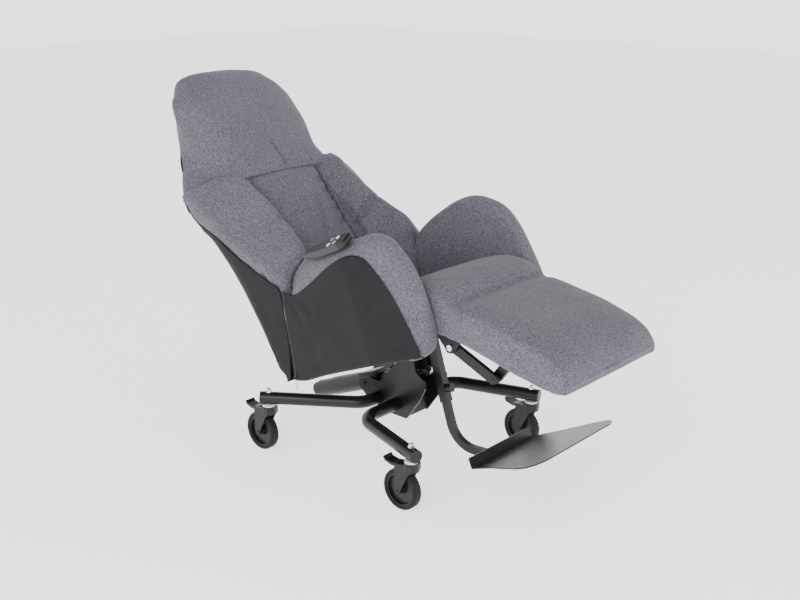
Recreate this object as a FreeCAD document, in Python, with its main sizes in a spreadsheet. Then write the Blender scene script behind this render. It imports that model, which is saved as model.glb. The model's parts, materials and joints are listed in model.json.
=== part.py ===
import FreeCAD, Part

import math
import os

import Sketcher

# A tilting shell chair for patients, on four braked casters.
# X points to the front of the chair, Y to the occupant's left, Z up, floor at Z = 0.
# The chair is drawn tilted back, with its legrest raised.

doc = FreeCAD.newDocument("RecliningPatientChair")

SIZES = {
    # the base stands this far forward, so that the whole chair's box is centred on the origin
    "base_forward": 43,
    # base
    "tube_radius": 20,
    "tube_wall": 2.5,
    "tube_height": 182,
    "stem_front": 299,
    "stem_side": 289,
    "front_bar": 30,
    "front_corner": 205,
    "rear_bar": 48,
    "rear_corner": 113,
    "bend_radius": 70,
    "tube_overhang": 23,
    "cap_lip": 3,
    # casters
    "wheel_radius": 62.5,
    "wheel_width": 28,
    "trail": 33.5,
    "tread_inner": 50,
    "axle_radius": 4,
    "fork_inside": 19,
    "fork_wall": 4,
    "fork_top": 155.5,
    "washer_thickness": 6,
    # tower
    "pivot_front": 80,
    "pivot_height": 415,
    "rest_tilt": 21,
    "tower_inside": 46,
    "tower_plate": 6,
    "pin_radius": 8,
    # shell
    "rail_inside": 195,
    "rail_size": 30,
    "rail_bottom": 32,
    "seat_board_thickness": 12,
    "seat_half_width": 222,
    "seat_front": 352,
    "seat_back": 170,
    "seat_top": 147,
    "shell_half_width": 342,
    "arm_inside": 228,
    "board_outside": 337,
    "board_thickness": 12,
    "cover_thickness": 3,
    "cover_gap": 0.3,
    "back_corner_back": 281,
    "back_corner_up": 8,
    "back_recline": 21.2,
    "back_thickness": 80,
    "head_top": 1030,
    "head_half_width": 205,
    # legrest
    "knee_front": 374,
    "knee_height": 535,
    "legrest_drop": 10.4,
    "legrest_length": 393,
    "legrest_half_width": 222,
    "legrest_top": 88,
    "legrest_bottom": 15,
    "link_width": 30,
    "link_thickness": 14,
    # foot support
    "sleeve_depth": 30,
    "sleeve_width": 25,
    "sleeve_lean": 17.9,
    "plate_thickness": 4,
    "plate_length": 288,
    "plate_heel_half": 145,
    "plate_pitch": 24,
    "flange_height": 29,
    # actuator
    "actuator_back": 110,
    "actuator_height": 212,
    "actuator_slope": 22.08,
    "actuator_length": 239.5,
    "motor_radius": 30,
    "rod_radius": 10,
    # handset
    "handset_length": 196,
    "handset_width": 50,
    "handset_thickness": 24,
    "button_radius": 7,
    "cable_radius": 3.5,
}

sheet = doc.addObject("Spreadsheet::Sheet", "Sizes")
for row, (alias, number) in enumerate(SIZES.items(), start=1):
    sheet.set("A%d" % row, alias)
    sheet.set("B%d" % row, str(number))
    sheet.setAlias("B%d" % row, alias)
doc.recompute()

RUNNING = 0.05
APART = 0.3
subparts = []


class Size:
    """A length kept both as a number and as the formula that gives it from the sheet."""

    def __init__(self, number, formula):
        self.number = number
        self.formula = formula

    def __add__(self, other):
        other = as_size(other)
        return Size(self.number + other.number, "(%s + %s)" % (self.formula, other.formula))

    def __sub__(self, other):
        other = as_size(other)
        return Size(self.number - other.number, "(%s - %s)" % (self.formula, other.formula))

    def __mul__(self, factor):
        other = as_size(factor)
        return Size(self.number * other.number, "(%s * %s)" % (self.formula, other.formula))

    def __neg__(self):
        return Size(-self.number, "(0 - %s)" % self.formula)


def as_size(value):
    if isinstance(value, Size):
        return value
    return Size(float(value), "%g" % value if value >= 0 else "(0 - %g)" % -value)


def size(alias):
    return Size(float(SIZES[alias]), "Sizes.%s" % alias)


def placed_body(label, placement):
    """Start a body at a fixed placement."""
    piece = doc.addObject("PartDesign::Body", label)
    piece.Label = label
    piece.Placement = placement
    return piece


def leant_body(label, position, lean):
    """Start a body moved to a point bound to the sheet, and leant back by an angle in degrees."""
    turn = FreeCAD.Rotation(FreeCAD.Vector(0, -1, 0), lean)
    piece = placed_body(label, FreeCAD.Placement(FreeCAD.Vector(0, 0, 0), turn))
    forward, sideways, up = [as_size(part) for part in position]
    piece.setExpression("Placement.Base.x", (forward + size("base_forward")).formula)
    piece.setExpression("Placement.Base.y", sideways.formula)
    piece.setExpression("Placement.Base.z", up.formula)
    return piece


def new_body(label, position=(0, 0, 0), lean=0.0):
    """Start a sub-part of its own, moved to a point and leant back by an angle in degrees."""
    piece = leant_body(label, position, lean)
    subparts.append(piece)
    return piece


def origin_plane(piece, role):
    for feature in piece.Origin.OriginFeatures:
        if feature.Role == role:
            return feature
    raise RuntimeError("no plane " + role)


def new_sketch(piece, plane, offset=0):
    """Attach a sketch to one of the body's own planes: XY, XZ or YZ."""
    drawing = piece.newObject("Sketcher::SketchObject", piece.Name + "_sketch")
    drawing.AttachmentSupport = [(origin_plane(piece, plane + "_Plane"), "")]
    drawing.MapMode = "FlatFace"
    shift = as_size(offset)
    if plane == "XZ":
        shift = -shift
    drawing.setExpression("AttachmentOffset.Base.z", shift.formula)
    return drawing


def pin_point(drawing, line, end, across, along):
    """Hold one end of a line at a stated place."""
    for kind, place in (("DistanceX", across), ("DistanceY", along)):
        place = as_size(place)
        index = drawing.addConstraint(Sketcher.Constraint(kind, -1, 1, line, end, place.number))
        drawing.setExpression("Constraints[%d]" % index, place.formula)


def outline(drawing, corners):
    """Draw a closed outline of straight lines through the corners."""
    points = [FreeCAD.Vector(as_size(x).number, as_size(y).number, 0) for x, y in corners]
    lines = []
    for start, finish in zip(points, points[1:] + points[:1]):
        lines.append(drawing.addGeometry(Part.LineSegment(start, finish), False))
    for line, following in zip(lines, lines[1:] + lines[:1]):
        drawing.addConstraint(Sketcher.Constraint("Coincident", line, 2, following, 1))
    for line, (across, along) in zip(lines, corners):
        pin_point(drawing, line, 1, across, along)


def ring(drawing, across, along, radius):
    """Draw a circle held at a stated centre and radius."""
    across = as_size(across)
    along = as_size(along)
    radius = as_size(radius)
    centre = FreeCAD.Vector(across.number, along.number, 0)
    circle = drawing.addGeometry(Part.Circle(centre, FreeCAD.Vector(0, 0, 1), radius.number), False)
    pin_point(drawing, circle, 3, across, along)
    index = drawing.addConstraint(Sketcher.Constraint("Radius", circle, radius.number))
    drawing.setExpression("Constraints[%d]" % index, radius.formula)


def rectangle(drawing, low_across, high_across, low_along, high_along):
    outline(
        drawing,
        [
            (low_across, low_along),
            (high_across, low_along),
            (high_across, high_along),
            (low_across, high_along),
        ],
    )


def extrude(piece, kind, plane, low, high, draw):
    """Pad or pocket what draw() puts on a sketch, between two places along the plane's normal."""
    low = as_size(low)
    high = as_size(high)
    start = high if plane == "XZ" else low
    if kind == "Pocket":
        start = low if plane == "XZ" else high
    drawing = new_sketch(piece, plane, start)
    draw(drawing)
    feature = piece.newObject("PartDesign::" + kind, piece.Name + "_" + kind.lower())
    feature.Profile = drawing
    feature.setExpression("Length", (high - low).formula)
    return feature


def pad_outline(piece, plane, low, high, corners):
    return extrude(piece, "Pad", plane, low, high, lambda drawing: outline(drawing, corners))


def pad_ring(piece, plane, low, high, across, along, radius):
    return extrude(piece, "Pad", plane, low, high, lambda drawing: ring(drawing, across, along, radius))


def cut_outline(piece, plane, low, high, corners):
    return extrude(piece, "Pocket", plane, low, high, lambda drawing: outline(drawing, corners))


def cut_ring(piece, plane, low, high, across, along, radius):
    return extrude(piece, "Pocket", plane, low, high, lambda drawing: ring(drawing, across, along, radius))


def box(piece, x_range, y_range, z_range):
    """Pad a plain block."""
    return extrude(
        piece, "Pad", "XY", z_range[0], z_range[1],
        lambda drawing: rectangle(drawing, x_range[0], x_range[1], y_range[0], y_range[1]),
    )


def square_tube(piece, plane, low, high, corner_low, corner_high, wall=2):
    """Pad a hollow rectangular tube along the plane's normal."""
    (low_across, low_along), (high_across, high_along) = corner_low, corner_high

    def draw(drawing):
        rectangle(drawing, low_across, high_across, low_along, high_along)
        rectangle(
            drawing, as_size(low_across) + wall, as_size(high_across) - wall,
            as_size(low_along) + wall, as_size(high_along) - wall,
        )

    return extrude(piece, "Pad", plane, low, high, draw)


def round_path(corners, radius):
    """Straight runs joined by tangent arcs, as a list of lines and arcs in one plane."""
    pieces = []
    start = corners[0]
    for before, corner, after in zip(corners, corners[1:], corners[2:]):
        inward = (before - corner).normalize()
        outward = (after - corner).normalize()
        half = inward.getAngle(outward) / 2
        reach = radius / math.tan(half)
        first = corner + inward * reach
        last = corner + outward * reach
        bisector = (inward + outward).normalize()
        middle = corner + bisector * (radius / math.sin(half) - radius)
        pieces.append(Part.LineSegment(start, first))
        pieces.append(Part.Arc(first, middle, last))
        start = last
    pieces.append(Part.LineSegment(start, corners[-1]))
    return pieces


def mirrored(corners, side):
    """Swap the sign of the first number of each corner for the left-hand copy."""
    return [(as_size(across) * side, along) for across, along in corners]


def side_range(side, inner, outer):
    """The stretch of Y between two distances from the middle, on one side."""
    inner = as_size(inner)
    outer = as_size(outer)
    if side > 0:
        return inner, outer
    return -outer, -inner


# ---------------------------------------------------------------- base frame

def base_tube(label, corners, plug_holes):
    """A bent tube in the plane of the base, with plain holes for the caster bolts."""
    piece = new_body(label, (0, 0, size("tube_height")))
    path = new_sketch(piece, "XY")
    for curve in round_path(corners, SIZES["bend_radius"]):
        path.addGeometry(curve, False)
    run = (corners[1] - corners[0]).normalize()
    profile = piece.newObject("Sketcher::SketchObject", label + "_section")
    section_frame = FreeCAD.Rotation(FreeCAD.Vector(0, 0, 1), run)
    profile.Placement = FreeCAD.Placement(corners[0], section_frame)
    ring(profile, 0, 0, size("tube_radius"))
    ring(profile, 0, 0, size("tube_radius") - size("tube_wall"))
    pipe = piece.newObject("PartDesign::AdditivePipe", label + "_pipe")
    pipe.Profile = profile
    pipe.Spine = path
    for side in (-1, 1):
        cut_ring(piece, "XY", -25, 25, plug_holes, size("stem_side") * side, 6)
    return piece


def tube_end(stem_front, corner_front, corner_side):
    """The middle of a tube's end, a little beyond the caster's stem, and the run's direction."""
    corner = FreeCAD.Vector(corner_front, -corner_side, 0)
    stem = FreeCAD.Vector(stem_front, -SIZES["stem_side"], 0)
    direction = (stem - corner).normalize()
    return stem + direction * SIZES["tube_overhang"], direction


def opposite(point):
    return FreeCAD.Vector(point.x, -point.y, point.z)


front_end, front_direction = tube_end(SIZES["stem_front"], SIZES["front_bar"], SIZES["front_corner"])
rear_end, rear_direction = tube_end(-SIZES["stem_front"], -SIZES["rear_bar"], SIZES["rear_corner"])
front_corner = FreeCAD.Vector(SIZES["front_bar"], -SIZES["front_corner"], 0)
rear_corner = FreeCAD.Vector(-SIZES["rear_bar"], -SIZES["rear_corner"], 0)
base_tube(
    "front_base_tube", [front_end, front_corner, opposite(front_corner), opposite(front_end)],
    size("stem_front"),
)
base_tube(
    "rear_base_tube", [rear_end, rear_corner, opposite(rear_corner), opposite(rear_end)],
    -size("stem_front"),
)


def fused(label, solids):
    """Gather separate solids of one kind into one sub-part."""
    group = doc.addObject("Part::Compound", label)
    group.Label = label
    group.Links = solids
    subparts.append(group)
    return group


AHEAD = FreeCAD.Vector(SIZES["base_forward"], 0, 0)
caps = []
for name, end, direction in (("front", front_end, front_direction), ("rear", rear_end, rear_direction)):
    for side in (-1, 1):
        place = end if side < 0 else opposite(end)
        heading = direction if side < 0 else opposite(direction)
        facing = FreeCAD.Rotation(FreeCAD.Vector(0, 0, 1), heading)
        disc = doc.addObject("Part::Cylinder", "cap_disc_%s_%d" % (name, side + 1))
        disc.setExpression("Radius", "Sizes.tube_radius")
        disc.setExpression("Height", "Sizes.cap_lip")
        disc.Placement = FreeCAD.Placement(
            place + AHEAD + FreeCAD.Vector(0, 0, SIZES["tube_height"]), facing
        )
        caps.append(disc)
fused("tube_end_caps", caps)

CASTERS = {
    "front_right": (1, -1),
    "front_left": (1, 1),
    "rear_right": (-1, -1),
    "rear_left": (-1, 1),
}
NUT_BOTTOM = 202
bolts = []
washers = []
for corner, (ahead, side) in CASTERS.items():
    spot = AHEAD + FreeCAD.Vector(ahead * SIZES["stem_front"], side * SIZES["stem_side"], 0)
    shank = doc.addObject("Part::Cylinder", "bolt_shank_" + corner)
    shank.Radius = 6
    shank.Height = NUT_BOTTOM - 146
    shank.Placement.Base = spot + FreeCAD.Vector(0, 0, 146)
    head = doc.addObject("Part::Cylinder", "bolt_head_" + corner)
    head.Radius = 9.6
    head.Height = 8
    head.Placement.Base = spot + FreeCAD.Vector(0, 0, 138)
    nut = doc.addObject("Part::Prism", "bolt_nut_" + corner)
    nut.Polygon = 6
    nut.Circumradius = 10
    nut.Height = 7
    nut.Placement.Base = spot + FreeCAD.Vector(0, 0, NUT_BOTTOM)
    dome = doc.addObject("Part::Sphere", "bolt_dome_" + corner)
    dome.Radius = 7.5
    dome.Angle1 = 0
    dome.Placement.Base = spot + FreeCAD.Vector(0, 0, NUT_BOTTOM + 6.5)
    bolt = doc.addObject("Part::MultiFuse", "bolt_" + corner)
    bolt.Shapes = [shank, head, nut, dome]
    bolts.append(bolt)
    disc = doc.addObject("Part::Cylinder", "washer_disc_" + corner)
    disc.Radius = 20
    disc.setExpression("Height", "Sizes.washer_thickness")
    disc.Placement.Base = spot + FreeCAD.Vector(0, 0, 156)
    hole = doc.addObject("Part::Cylinder", "washer_hole_" + corner)
    hole.Radius = 6
    hole.setExpression("Height", "Sizes.washer_thickness")
    hole.Placement.Base = spot + FreeCAD.Vector(0, 0, 156)
    washer = doc.addObject("Part::Cut", "washer_" + corner)
    washer.Base = disc
    washer.Tool = hole
    washers.append(washer)
fused("caster_bolts", bolts)
fused("caster_washers", washers)

TOWER_SIDE = [
    (-128, 224), (-130, 198), (-92, 166), (-12, 142), (70, 142), (122, 214), (146, 262), (146, 284),
    (132, 289), (106, 307), (99, 340), (104, 404), (104, 426), (91, 437), (69, 437), (56, 426),
    (56, 404), (40, 330), (2, 288), (-44, 236), (-92, 236),
]
tower = new_body("tower")
inner = size("tower_inside")
outer = size("tower_inside") + size("tower_plate")
for side in (-1, 1):
    low, high = side_range(side, inner, outer)
    pad_outline(tower, "XZ", low, high, TOWER_SIDE)
    cut_ring(tower, "XZ", low, high, -size("actuator_back"), size("actuator_height"), 6 + RUNNING)
    cut_ring(tower, "XZ", low, high, size("pivot_front"), size("pivot_height"), size("pin_radius"))
    for bar in (size("front_bar"), -size("rear_bar")):
        cut_ring(tower, "XZ", low, high, bar, size("tube_height"), size("tube_radius"))
pad_outline(tower, "XZ", -inner, inner, [(66, 148), (72, 148), (72, 250), (66, 250)])
cut_outline(tower, "YZ", 60, 80, [(-16, 205), (16, 205), (16, 238), (-16, 238)])

pin = new_body("tilt_pin", (size("pivot_front"), 0, size("pivot_height")))
pad_ring(pin, "XZ", -outer - 3, outer + 3, 0, 0, size("pin_radius"))
for side in (-1, 1):
    low, high = side_range(side, outer, outer + 5)
    pad_ring(pin, "XZ", low, high, 0, 0, size("pin_radius") + 5)


# ---------------------------------------------------------------- casters

def caster(corner, ahead, side):
    """One braked swivel caster: fork, hub, tread and pedal, trailing to the rear."""
    place = (size("stem_front") * ahead, size("stem_side") * side, 0)
    axle_back = -size("trail")
    axle_up = size("wheel_radius")
    inside = size("fork_inside")
    outside = inside + size("fork_wall")

    fork = new_body("caster_%s_fork" % corner, place)
    pad_ring(fork, "XY", 130, size("fork_top"), 0, 0, 24)
    for hand in (-1, 1):
        low, high = side_range(hand, inside, outside)
        pad_outline(
            fork, "XZ", low, high,
            [
                (16, 154), (-38, 147), (-46, 134), (-44, 70), (-40, 54), (-27, 54), (-20, 70),
                (6, 122), (16, 132),
            ],
        )
    pad_ring(fork, "XZ", -outside - 2, outside + 2, axle_back, axle_up, size("axle_radius"))
    pad_ring(fork, "XZ", -inside, inside, -34, 139, 3)
    cut_ring(fork, "XY", 137, 146.5, 0, 0, 10)
    cut_ring(fork, "XY", 146, size("fork_top"), 0, 0, 6 + APART)

    hub = new_body("caster_%s_hub" % corner, place)
    half = size("wheel_width") * 0.5
    pad_ring(hub, "XZ", -half + 2, half - 2, axle_back, axle_up, size("tread_inner"))
    for low, high in ((3, half - 2), (-half + 2, -3)):
        extrude(
            hub, "Pocket", "XZ", low, high,
            lambda drawing: (
                ring(drawing, axle_back, axle_up, size("tread_inner") - 5),
                ring(drawing, axle_back, axle_up, 17),
            ),
        )
    pad_ring(hub, "XZ", -half - 3, half + 3, axle_back, axle_up, 13)
    cut_ring(hub, "XZ", -half - 3, half + 3, axle_back, axle_up, size("axle_radius") + RUNNING)

    tread = new_body("caster_%s_tread" % corner, place)
    pad_ring(tread, "XZ", -half, half, axle_back, axle_up, size("wheel_radius"))
    cut_ring(tread, "XZ", -half, half, axle_back, axle_up, size("tread_inner"))
    doc.recompute()
    rims = []
    for number, edge in enumerate(tread.Shape.Edges, start=1):
        if edge.Curve.TypeId == "Part::GeomCircle":
            if abs(edge.Curve.Radius - SIZES["wheel_radius"]) < 0.01:
                rims.append("Edge%d" % number)
    rounding = tread.newObject("PartDesign::Fillet", tread.Name + "_fillet")
    rounding.Base = (tread.Group[-2], rims)
    rounding.Radius = 6

    pedal = new_body("caster_%s_pedal" % corner, place)
    pad_outline(
        pedal, "XZ", -inside + 2, inside - 2,
        [
            (-27, 143), (-41, 145), (-62, 141), (-84, 145), (-91, 153), (-94, 150), (-87, 139),
            (-64, 133), (-42, 133), (-27, 134),
        ],
    )
    cut_ring(pedal, "XZ", -inside, inside, -34, 139, 3 + APART)


for corner, (ahead, side) in CASTERS.items():
    caster(corner, ahead, side)


# ---------------------------------------------------------------- shell

PIVOT = (size("pivot_front"), 0, size("pivot_height"))
TILT = SIZES["rest_tilt"]
RECLINE = SIZES["back_recline"]


def shell_body(label):
    """A sub-part drawn in the shell's own level frame, with the tilt pivot at its origin."""
    return new_body(label, PIVOT, TILT)


def shell_blank(label):
    """One solid of a group, drawn in the shell's own level frame."""
    return leant_body(label, PIVOT, TILT)


def from_shell(forward, up):
    """A point of the shell's level frame, given in the chair's frame."""
    lean = math.radians(TILT)
    return FreeCAD.Vector(
        SIZES["pivot_front"] + forward * math.cos(lean) - up * math.sin(lean),
        0,
        SIZES["pivot_height"] + forward * math.sin(lean) + up * math.cos(lean),
    )


def to_shell(forward, up):
    """A point of the chair's frame, given in the shell's level frame."""
    lean = math.radians(TILT)
    ahead = forward - SIZES["pivot_front"]
    above = up - SIZES["pivot_height"]
    return (
        ahead * math.cos(lean) + above * math.sin(lean),
        above * math.cos(lean) - ahead * math.sin(lean),
    )


def back_body(label):
    """A sub-part drawn in the backrest's frame: X forward out of the back, Z up along it."""
    foot = from_shell(-SIZES["back_corner_back"], SIZES["back_corner_up"])
    piece = new_body(label, (foot.x, 0, foot.z), TILT + RECLINE)
    return piece


rail_low = size("rail_inside")
rail_high = size("rail_inside") + size("rail_size")
rail_top = size("rail_bottom") + size("rail_size")
KNEE = to_shell(SIZES["knee_front"], SIZES["knee_height"])
CRANK = (246.8, -38.2)
EYE = (-10.7, -116.9)
EYE_PIN = 5
EYE_BORE = 10.4

frame = shell_body("seat_frame")
for side in (-1, 1):
    low, high = side_range(side, rail_low, rail_high)
    square_tube(frame, "YZ", -262, 335, (low, size("rail_bottom")), (high, rail_top))
for near, far in ((-262, -236), (-16, 16), (22, 58), (300, 326)):
    square_tube(frame, "XZ", -rail_low, rail_low, (near, size("rail_bottom")), (far, rail_top))
for side in (-1, 1):
    for near, far in ((-150, -124), (80, 106)):
        low, high = side_range(side, rail_high, size("board_outside") - size("board_thickness"))
        square_tube(frame, "XZ", low, high, (near, size("rail_bottom")), (far, rail_top))
    low, high = side_range(side, 34, 42)
    pad_outline(
        frame, "XZ", low, high,
        [(-30, 34), (30, 34), (18, -8), (8, -17), (-8, -17), (-18, -8)],
    )
    cut_ring(frame, "XZ", low, high, 0, 0, size("pin_radius") + APART)
    low, high = side_range(side, 14, 20)
    pad_outline(
        frame, "XZ", low, high,
        [(-28, 34), (16, 34), (14, -60), (6, -118), (-4, -132), (-18, -132), (-28, -118), (-26, -60)],
    )
    cut_ring(frame, "XZ", low, high, 0, 0, size("pin_radius") + APART)
    cut_ring(frame, "XZ", low, high, EYE[0], EYE[1], EYE_PIN)
    low, high = side_range(side, 150, 156)
    pad_outline(
        frame, "XZ", low, high,
        [
            (196, 34), (326, 34), (336, 22), (336, -4), (326, -12), (310, -14), (262, -50),
            (246, -56), (230, -50), (226, -34), (206, 10),
        ],
    )
    cut_ring(frame, "XZ", low, high, KNEE[0], KNEE[1], 6)
    cut_ring(frame, "XZ", low, high, CRANK[0], CRANK[1], 6)

seat_board = shell_body("seat_board")
board_top = rail_top + size("seat_board_thickness")
box(seat_board, (-180, 335), (-size("seat_half_width"), size("seat_half_width")), (rail_top, board_top))

seat_cushion = shell_body("seat_cushion")
front = size("seat_front")
pad_outline(
    seat_cushion, "XZ", -size("seat_half_width"), size("seat_half_width"),
    [
        (-size("seat_back"), board_top), (front - 12, board_top), (front, board_top + 16),
        (front - 7, board_top + 46), (front - 32, board_top + 66), (front - 62, size("seat_top")),
        (-size("seat_back"), size("seat_top")),
    ],
)

back_frame = back_body("back_frame")
for side in (-1, 1):
    low, high = side_range(side, rail_low, rail_high)
    square_tube(back_frame, "XY", 12, 700, (1, low), (30, high))
for low, high in ((60, 90), (340, 370), (660, 690)):
    square_tube(back_frame, "XZ", -rail_low, rail_low, (1, low), (30, high))

back_board = back_body("back_board")
pad_outline(
    back_board, "YZ", 30, 42,
    [
        (-330, 60), (330, 60), (330, 600), (190, 690), (150, 980), (-150, 980), (-190, 690), (-330, 600),
    ],
)

back_cushion = back_body("back_cushion")
cushion_front = size("back_thickness") + 42
pad_outline(
    back_cushion, "XZ", -size("arm_inside") + 3, size("arm_inside") - 3,
    [
        (42, 70), (cushion_front - 14, 70), (cushion_front, 120), (cushion_front, 580),
        (cushion_front - 20, 610), (42, 610),
    ],
)

head_cushion = back_body("head_cushion")
HEAD_HALF_WIDTHS = [(1.35, 615), (1.25, 700), (1, 960), (0.78, size("head_top"))]
head_right = [(size("head_half_width") * -share, up) for share, up in HEAD_HALF_WIDTHS]
head_left = [(size("head_half_width") * share, up) for share, up in reversed(HEAD_HALF_WIDTHS)]
pad_outline(head_cushion, "YZ", 42, cushion_front, head_right + head_left)

WING = [
    (42, 64), (146, 64), (208, 232), (226, 264), (222, 369), (184, 517), (118, 600), (42, 612),
]
COVER_TOP = [
    (-165, 238), (-109, 214), (-41, 236), (36, 262), (108, 280), (148, 280), (185, 258), (216, 205),
    (242, 138), (259, 68), (272, 8),
]
COVER_BOTTOM = [(268, -24), (148, -20), (-19, -22), (-171, -31), (-216, -30)]
ARM = [
    (-163, 64.5), (268, 64.5), (268, -20), (292, -20), (297, 60), (295, 130), (284, 190), (256, 250),
    (224, 302), (184, 336), (135, 356), (74, 360), (0, 345), (-118, 300), (-163, 200),
]
ARM_CREST = [
    (224, 258), (224, 302), (184, 336), (135, 356), (74, 360), (0, 345), (-41, 330),
]
ARM_HIGHEST = {"right": 327, "left": 360}
ARM_BOARD = [
    (-196, 50), (-196, -18), (262, -18), (262, 130), (232, 200), (196, 250), (150, 270), (108, 270),
    (36, 252), (-41, 226), (-105, 204), (-160, 204), (-162, 100),
]
arm_boards = []

TAPER_START = 110
TAPER_END = 330
TAPER = 0.195
LOWEST_CUT = -60
HIGHEST_CUT = 420


def taper_line(outward):
    """Two plan points on the arm's side, which runs inwards towards the front, moved outwards."""
    start = SIZES["board_outside"] + outward
    return [(TAPER_START, start), (TAPER_END, start - TAPER * (TAPER_END - TAPER_START))]


def cut_outside(piece, side, outward):
    """Cut away what lies outside the arm's tapered side."""
    (near, near_out), (far, far_out) = taper_line(outward)
    back = near - 30
    back_out = near_out + TAPER * 30
    beyond = [(back, back_out), (far, far_out), (far, 360), (back, 360)]
    cut_outline(piece, "XY", LOWEST_CUT, HIGHEST_CUT, [(x, y * side) for x, y in beyond])


HANDSET_AT = (44, -316, 311)
handset_pitch = FreeCAD.Rotation(FreeCAD.Vector(0, -1, 0), 4)
handset_roll = FreeCAD.Rotation(FreeCAD.Vector(1, 0, 0), 28)
handset_lie = handset_pitch.multiply(handset_roll)


def handset_dent(piece):
    """Press a flat dent into the arm for the handset and the first stretch of its cable."""
    drawing = piece.newObject("Sketcher::SketchObject", "handset_dent")
    drawing.Placement = FreeCAD.Placement(FreeCAD.Vector(*HANDSET_AT), handset_lie)
    rectangle(drawing, -160, 106, -70, 30)
    feature = piece.newObject("PartDesign::Pocket", "handset_pocket")
    feature.Profile = drawing
    feature.Reversed = True
    feature.Length = 90


for name, side in (("right", -1), ("left", 1)):
    wing = back_body("wing_cushion_" + name)
    low, high = side_range(side, size("arm_inside"), size("board_outside"))
    pad_outline(wing, "XZ", low, high, WING)

    arm = shell_body("arm_cushion_" + name)
    board_inside = size("board_outside") - size("board_thickness")
    low, high = side_range(side, size("arm_inside"), board_inside - 0.5)
    highest = ARM_HIGHEST[name]
    pad_outline(arm, "XZ", low, high, [(x, min(z, highest)) for x, z in ARM])
    above_cover = [(x, z + 2) for x, z in COVER_TOP[2:-4]]
    low, high = side_range(side, board_inside - 1, size("shell_half_width"))
    pad_outline(arm, "XZ", low, high, above_cover + [(x, min(z, highest)) for x, z in ARM_CREST])
    slope = [(286, 356), (345, 287), (345, 400), (286, 400)]
    cut_outline(arm, "YZ", -200, 320, mirrored(slope, side))
    cut_outside(arm, side, 0)
    if name == "right":
        handset_dent(arm)

    board = shell_blank("arm_board_blank_" + name)
    low, high = side_range(side, board_inside, size("board_outside"))
    pad_outline(board, "XZ", low, high, ARM_BOARD)
    cut_outside(board, side, 0)
    arm_boards.append(board)

    cover = shell_body("side_cover_" + name)
    outside_gap = size("cover_gap") + size("cover_thickness")
    low, high = side_range(side, 280, size("board_outside") + outside_gap)
    pad_outline(cover, "XZ", low, high, COVER_TOP + COVER_BOTTOM)
    cut_outside(cover, side, SIZES["cover_gap"] + SIZES["cover_thickness"])
    inner_line = taper_line(SIZES["cover_gap"])
    inner_face = [(-240, inner_line[0][1])] + inner_line + [(inner_line[1][0], 270), (-240, 270)]
    cut_outline(cover, "XY", LOWEST_CUT, HIGHEST_CUT, [(x, y * side) for x, y in inner_face])
fused("arm_boards", arm_boards)

back_cover = back_body("back_cover")
cover_low = size("board_outside") + size("cover_gap")
cover_high = cover_low + size("cover_thickness")
pad_outline(
    back_cover, "YZ", -3, 0,
    [
        (-cover_high, 0), (cover_high, 0), (cover_high, 603), (200, 700), (180, 985), (-180, 985),
        (-200, 700), (-cover_high, 603),
    ],
)
CHEEK = [(-3, 0), (44, -57), (178, 180), (112, 298), (43, 455), (5, 563), (-3, 603)]
for side in (-1, 1):
    low, high = side_range(side, cover_low, cover_high)
    pad_outline(back_cover, "XZ", low, high, CHEEK)

# ---------------------------------------------------------------- zips

ZIP_TOP = (-167, 236)
ZIP_BOTTOM = (-217, -28)
zips = []
for name, side in (("right", -1), ("left", 1)):
    tape = shell_blank("zip_blank_" + name)
    low, high = side_range(side, cover_high + 0.1, cover_high + 1.6)
    pad_outline(
        tape, "XZ", low, high,
        [
            (ZIP_TOP[0] - 4, ZIP_TOP[1]), (ZIP_TOP[0] + 4, ZIP_TOP[1]),
            (ZIP_BOTTOM[0] + 5, ZIP_BOTTOM[1]), (ZIP_BOTTOM[0] - 3, ZIP_BOTTOM[1]),
        ],
    )
    low, high = side_range(side, cover_high + 0.1, cover_high + 4)
    pad_outline(
        tape, "XZ", low, high,
        [
            (ZIP_BOTTOM[0] - 4, ZIP_BOTTOM[1] - 2), (ZIP_BOTTOM[0] + 6, ZIP_BOTTOM[1] - 2),
            (ZIP_BOTTOM[0] + 8, ZIP_BOTTOM[1] + 12), (ZIP_BOTTOM[0] - 2, ZIP_BOTTOM[1] + 12),
        ],
    )
    zips.append(tape)

    hang = from_shell(ZIP_BOTTOM[0] + 1, ZIP_BOTTOM[1] - 6)
    pull = new_body("zip_pull_" + name, (hang.x, 0, hang.z))
    low, high = side_range(side, cover_high + 1, cover_high + 3)
    pad_outline(
        pull, "XZ", low, high,
        [(-3, 0), (3, 0), (3, -12), (5, -16), (5, -30), (-5, -30), (-5, -16), (-3, -12)],
    )
    pad_ring(pull, "XZ", low, high, 0, 0, 3.6)
    cut_ring(pull, "XZ", low, high, 0, -23, 2.5)
fused("zip_tapes", zips)

control_box = shell_body("control_box")
box(control_box, (-200, -100), (84, 174), (28, rail_top))

shell_pins = []
for side in (-1, 1):
    for place, inner_end, outer_end in ((KNEE, 130, 157), (CRANK, 132, 157)):
        low, high = side_range(side, inner_end, outer_end)
        shank = shell_blank("shell_pin_blank_%d" % len(shell_pins))
        pad_ring(shank, "XZ", low, high, place[0], place[1], 6)
        low, high = side_range(side, 156, 161)
        pad_ring(shank, "XZ", low, high, place[0], place[1], 9)
        shell_pins.append(shank)
eye_pin = shell_blank("shell_pin_blank_eye")
pad_ring(eye_pin, "XZ", -24, 24, EYE[0], EYE[1], EYE_PIN)
for side in (-1, 1):
    low, high = side_range(side, 20, 25)
    pad_ring(eye_pin, "XZ", low, high, EYE[0], EYE[1], 9)
shell_pins.append(eye_pin)
fused("shell_pins", shell_pins)

# ---------------------------------------------------------------- legrest

KNEE_POINT = (size("knee_front"), 0, size("knee_height"))
DROP = -SIZES["legrest_drop"]
bottom = -size("legrest_bottom")
PUSH = (150.3, -32.4)

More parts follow.
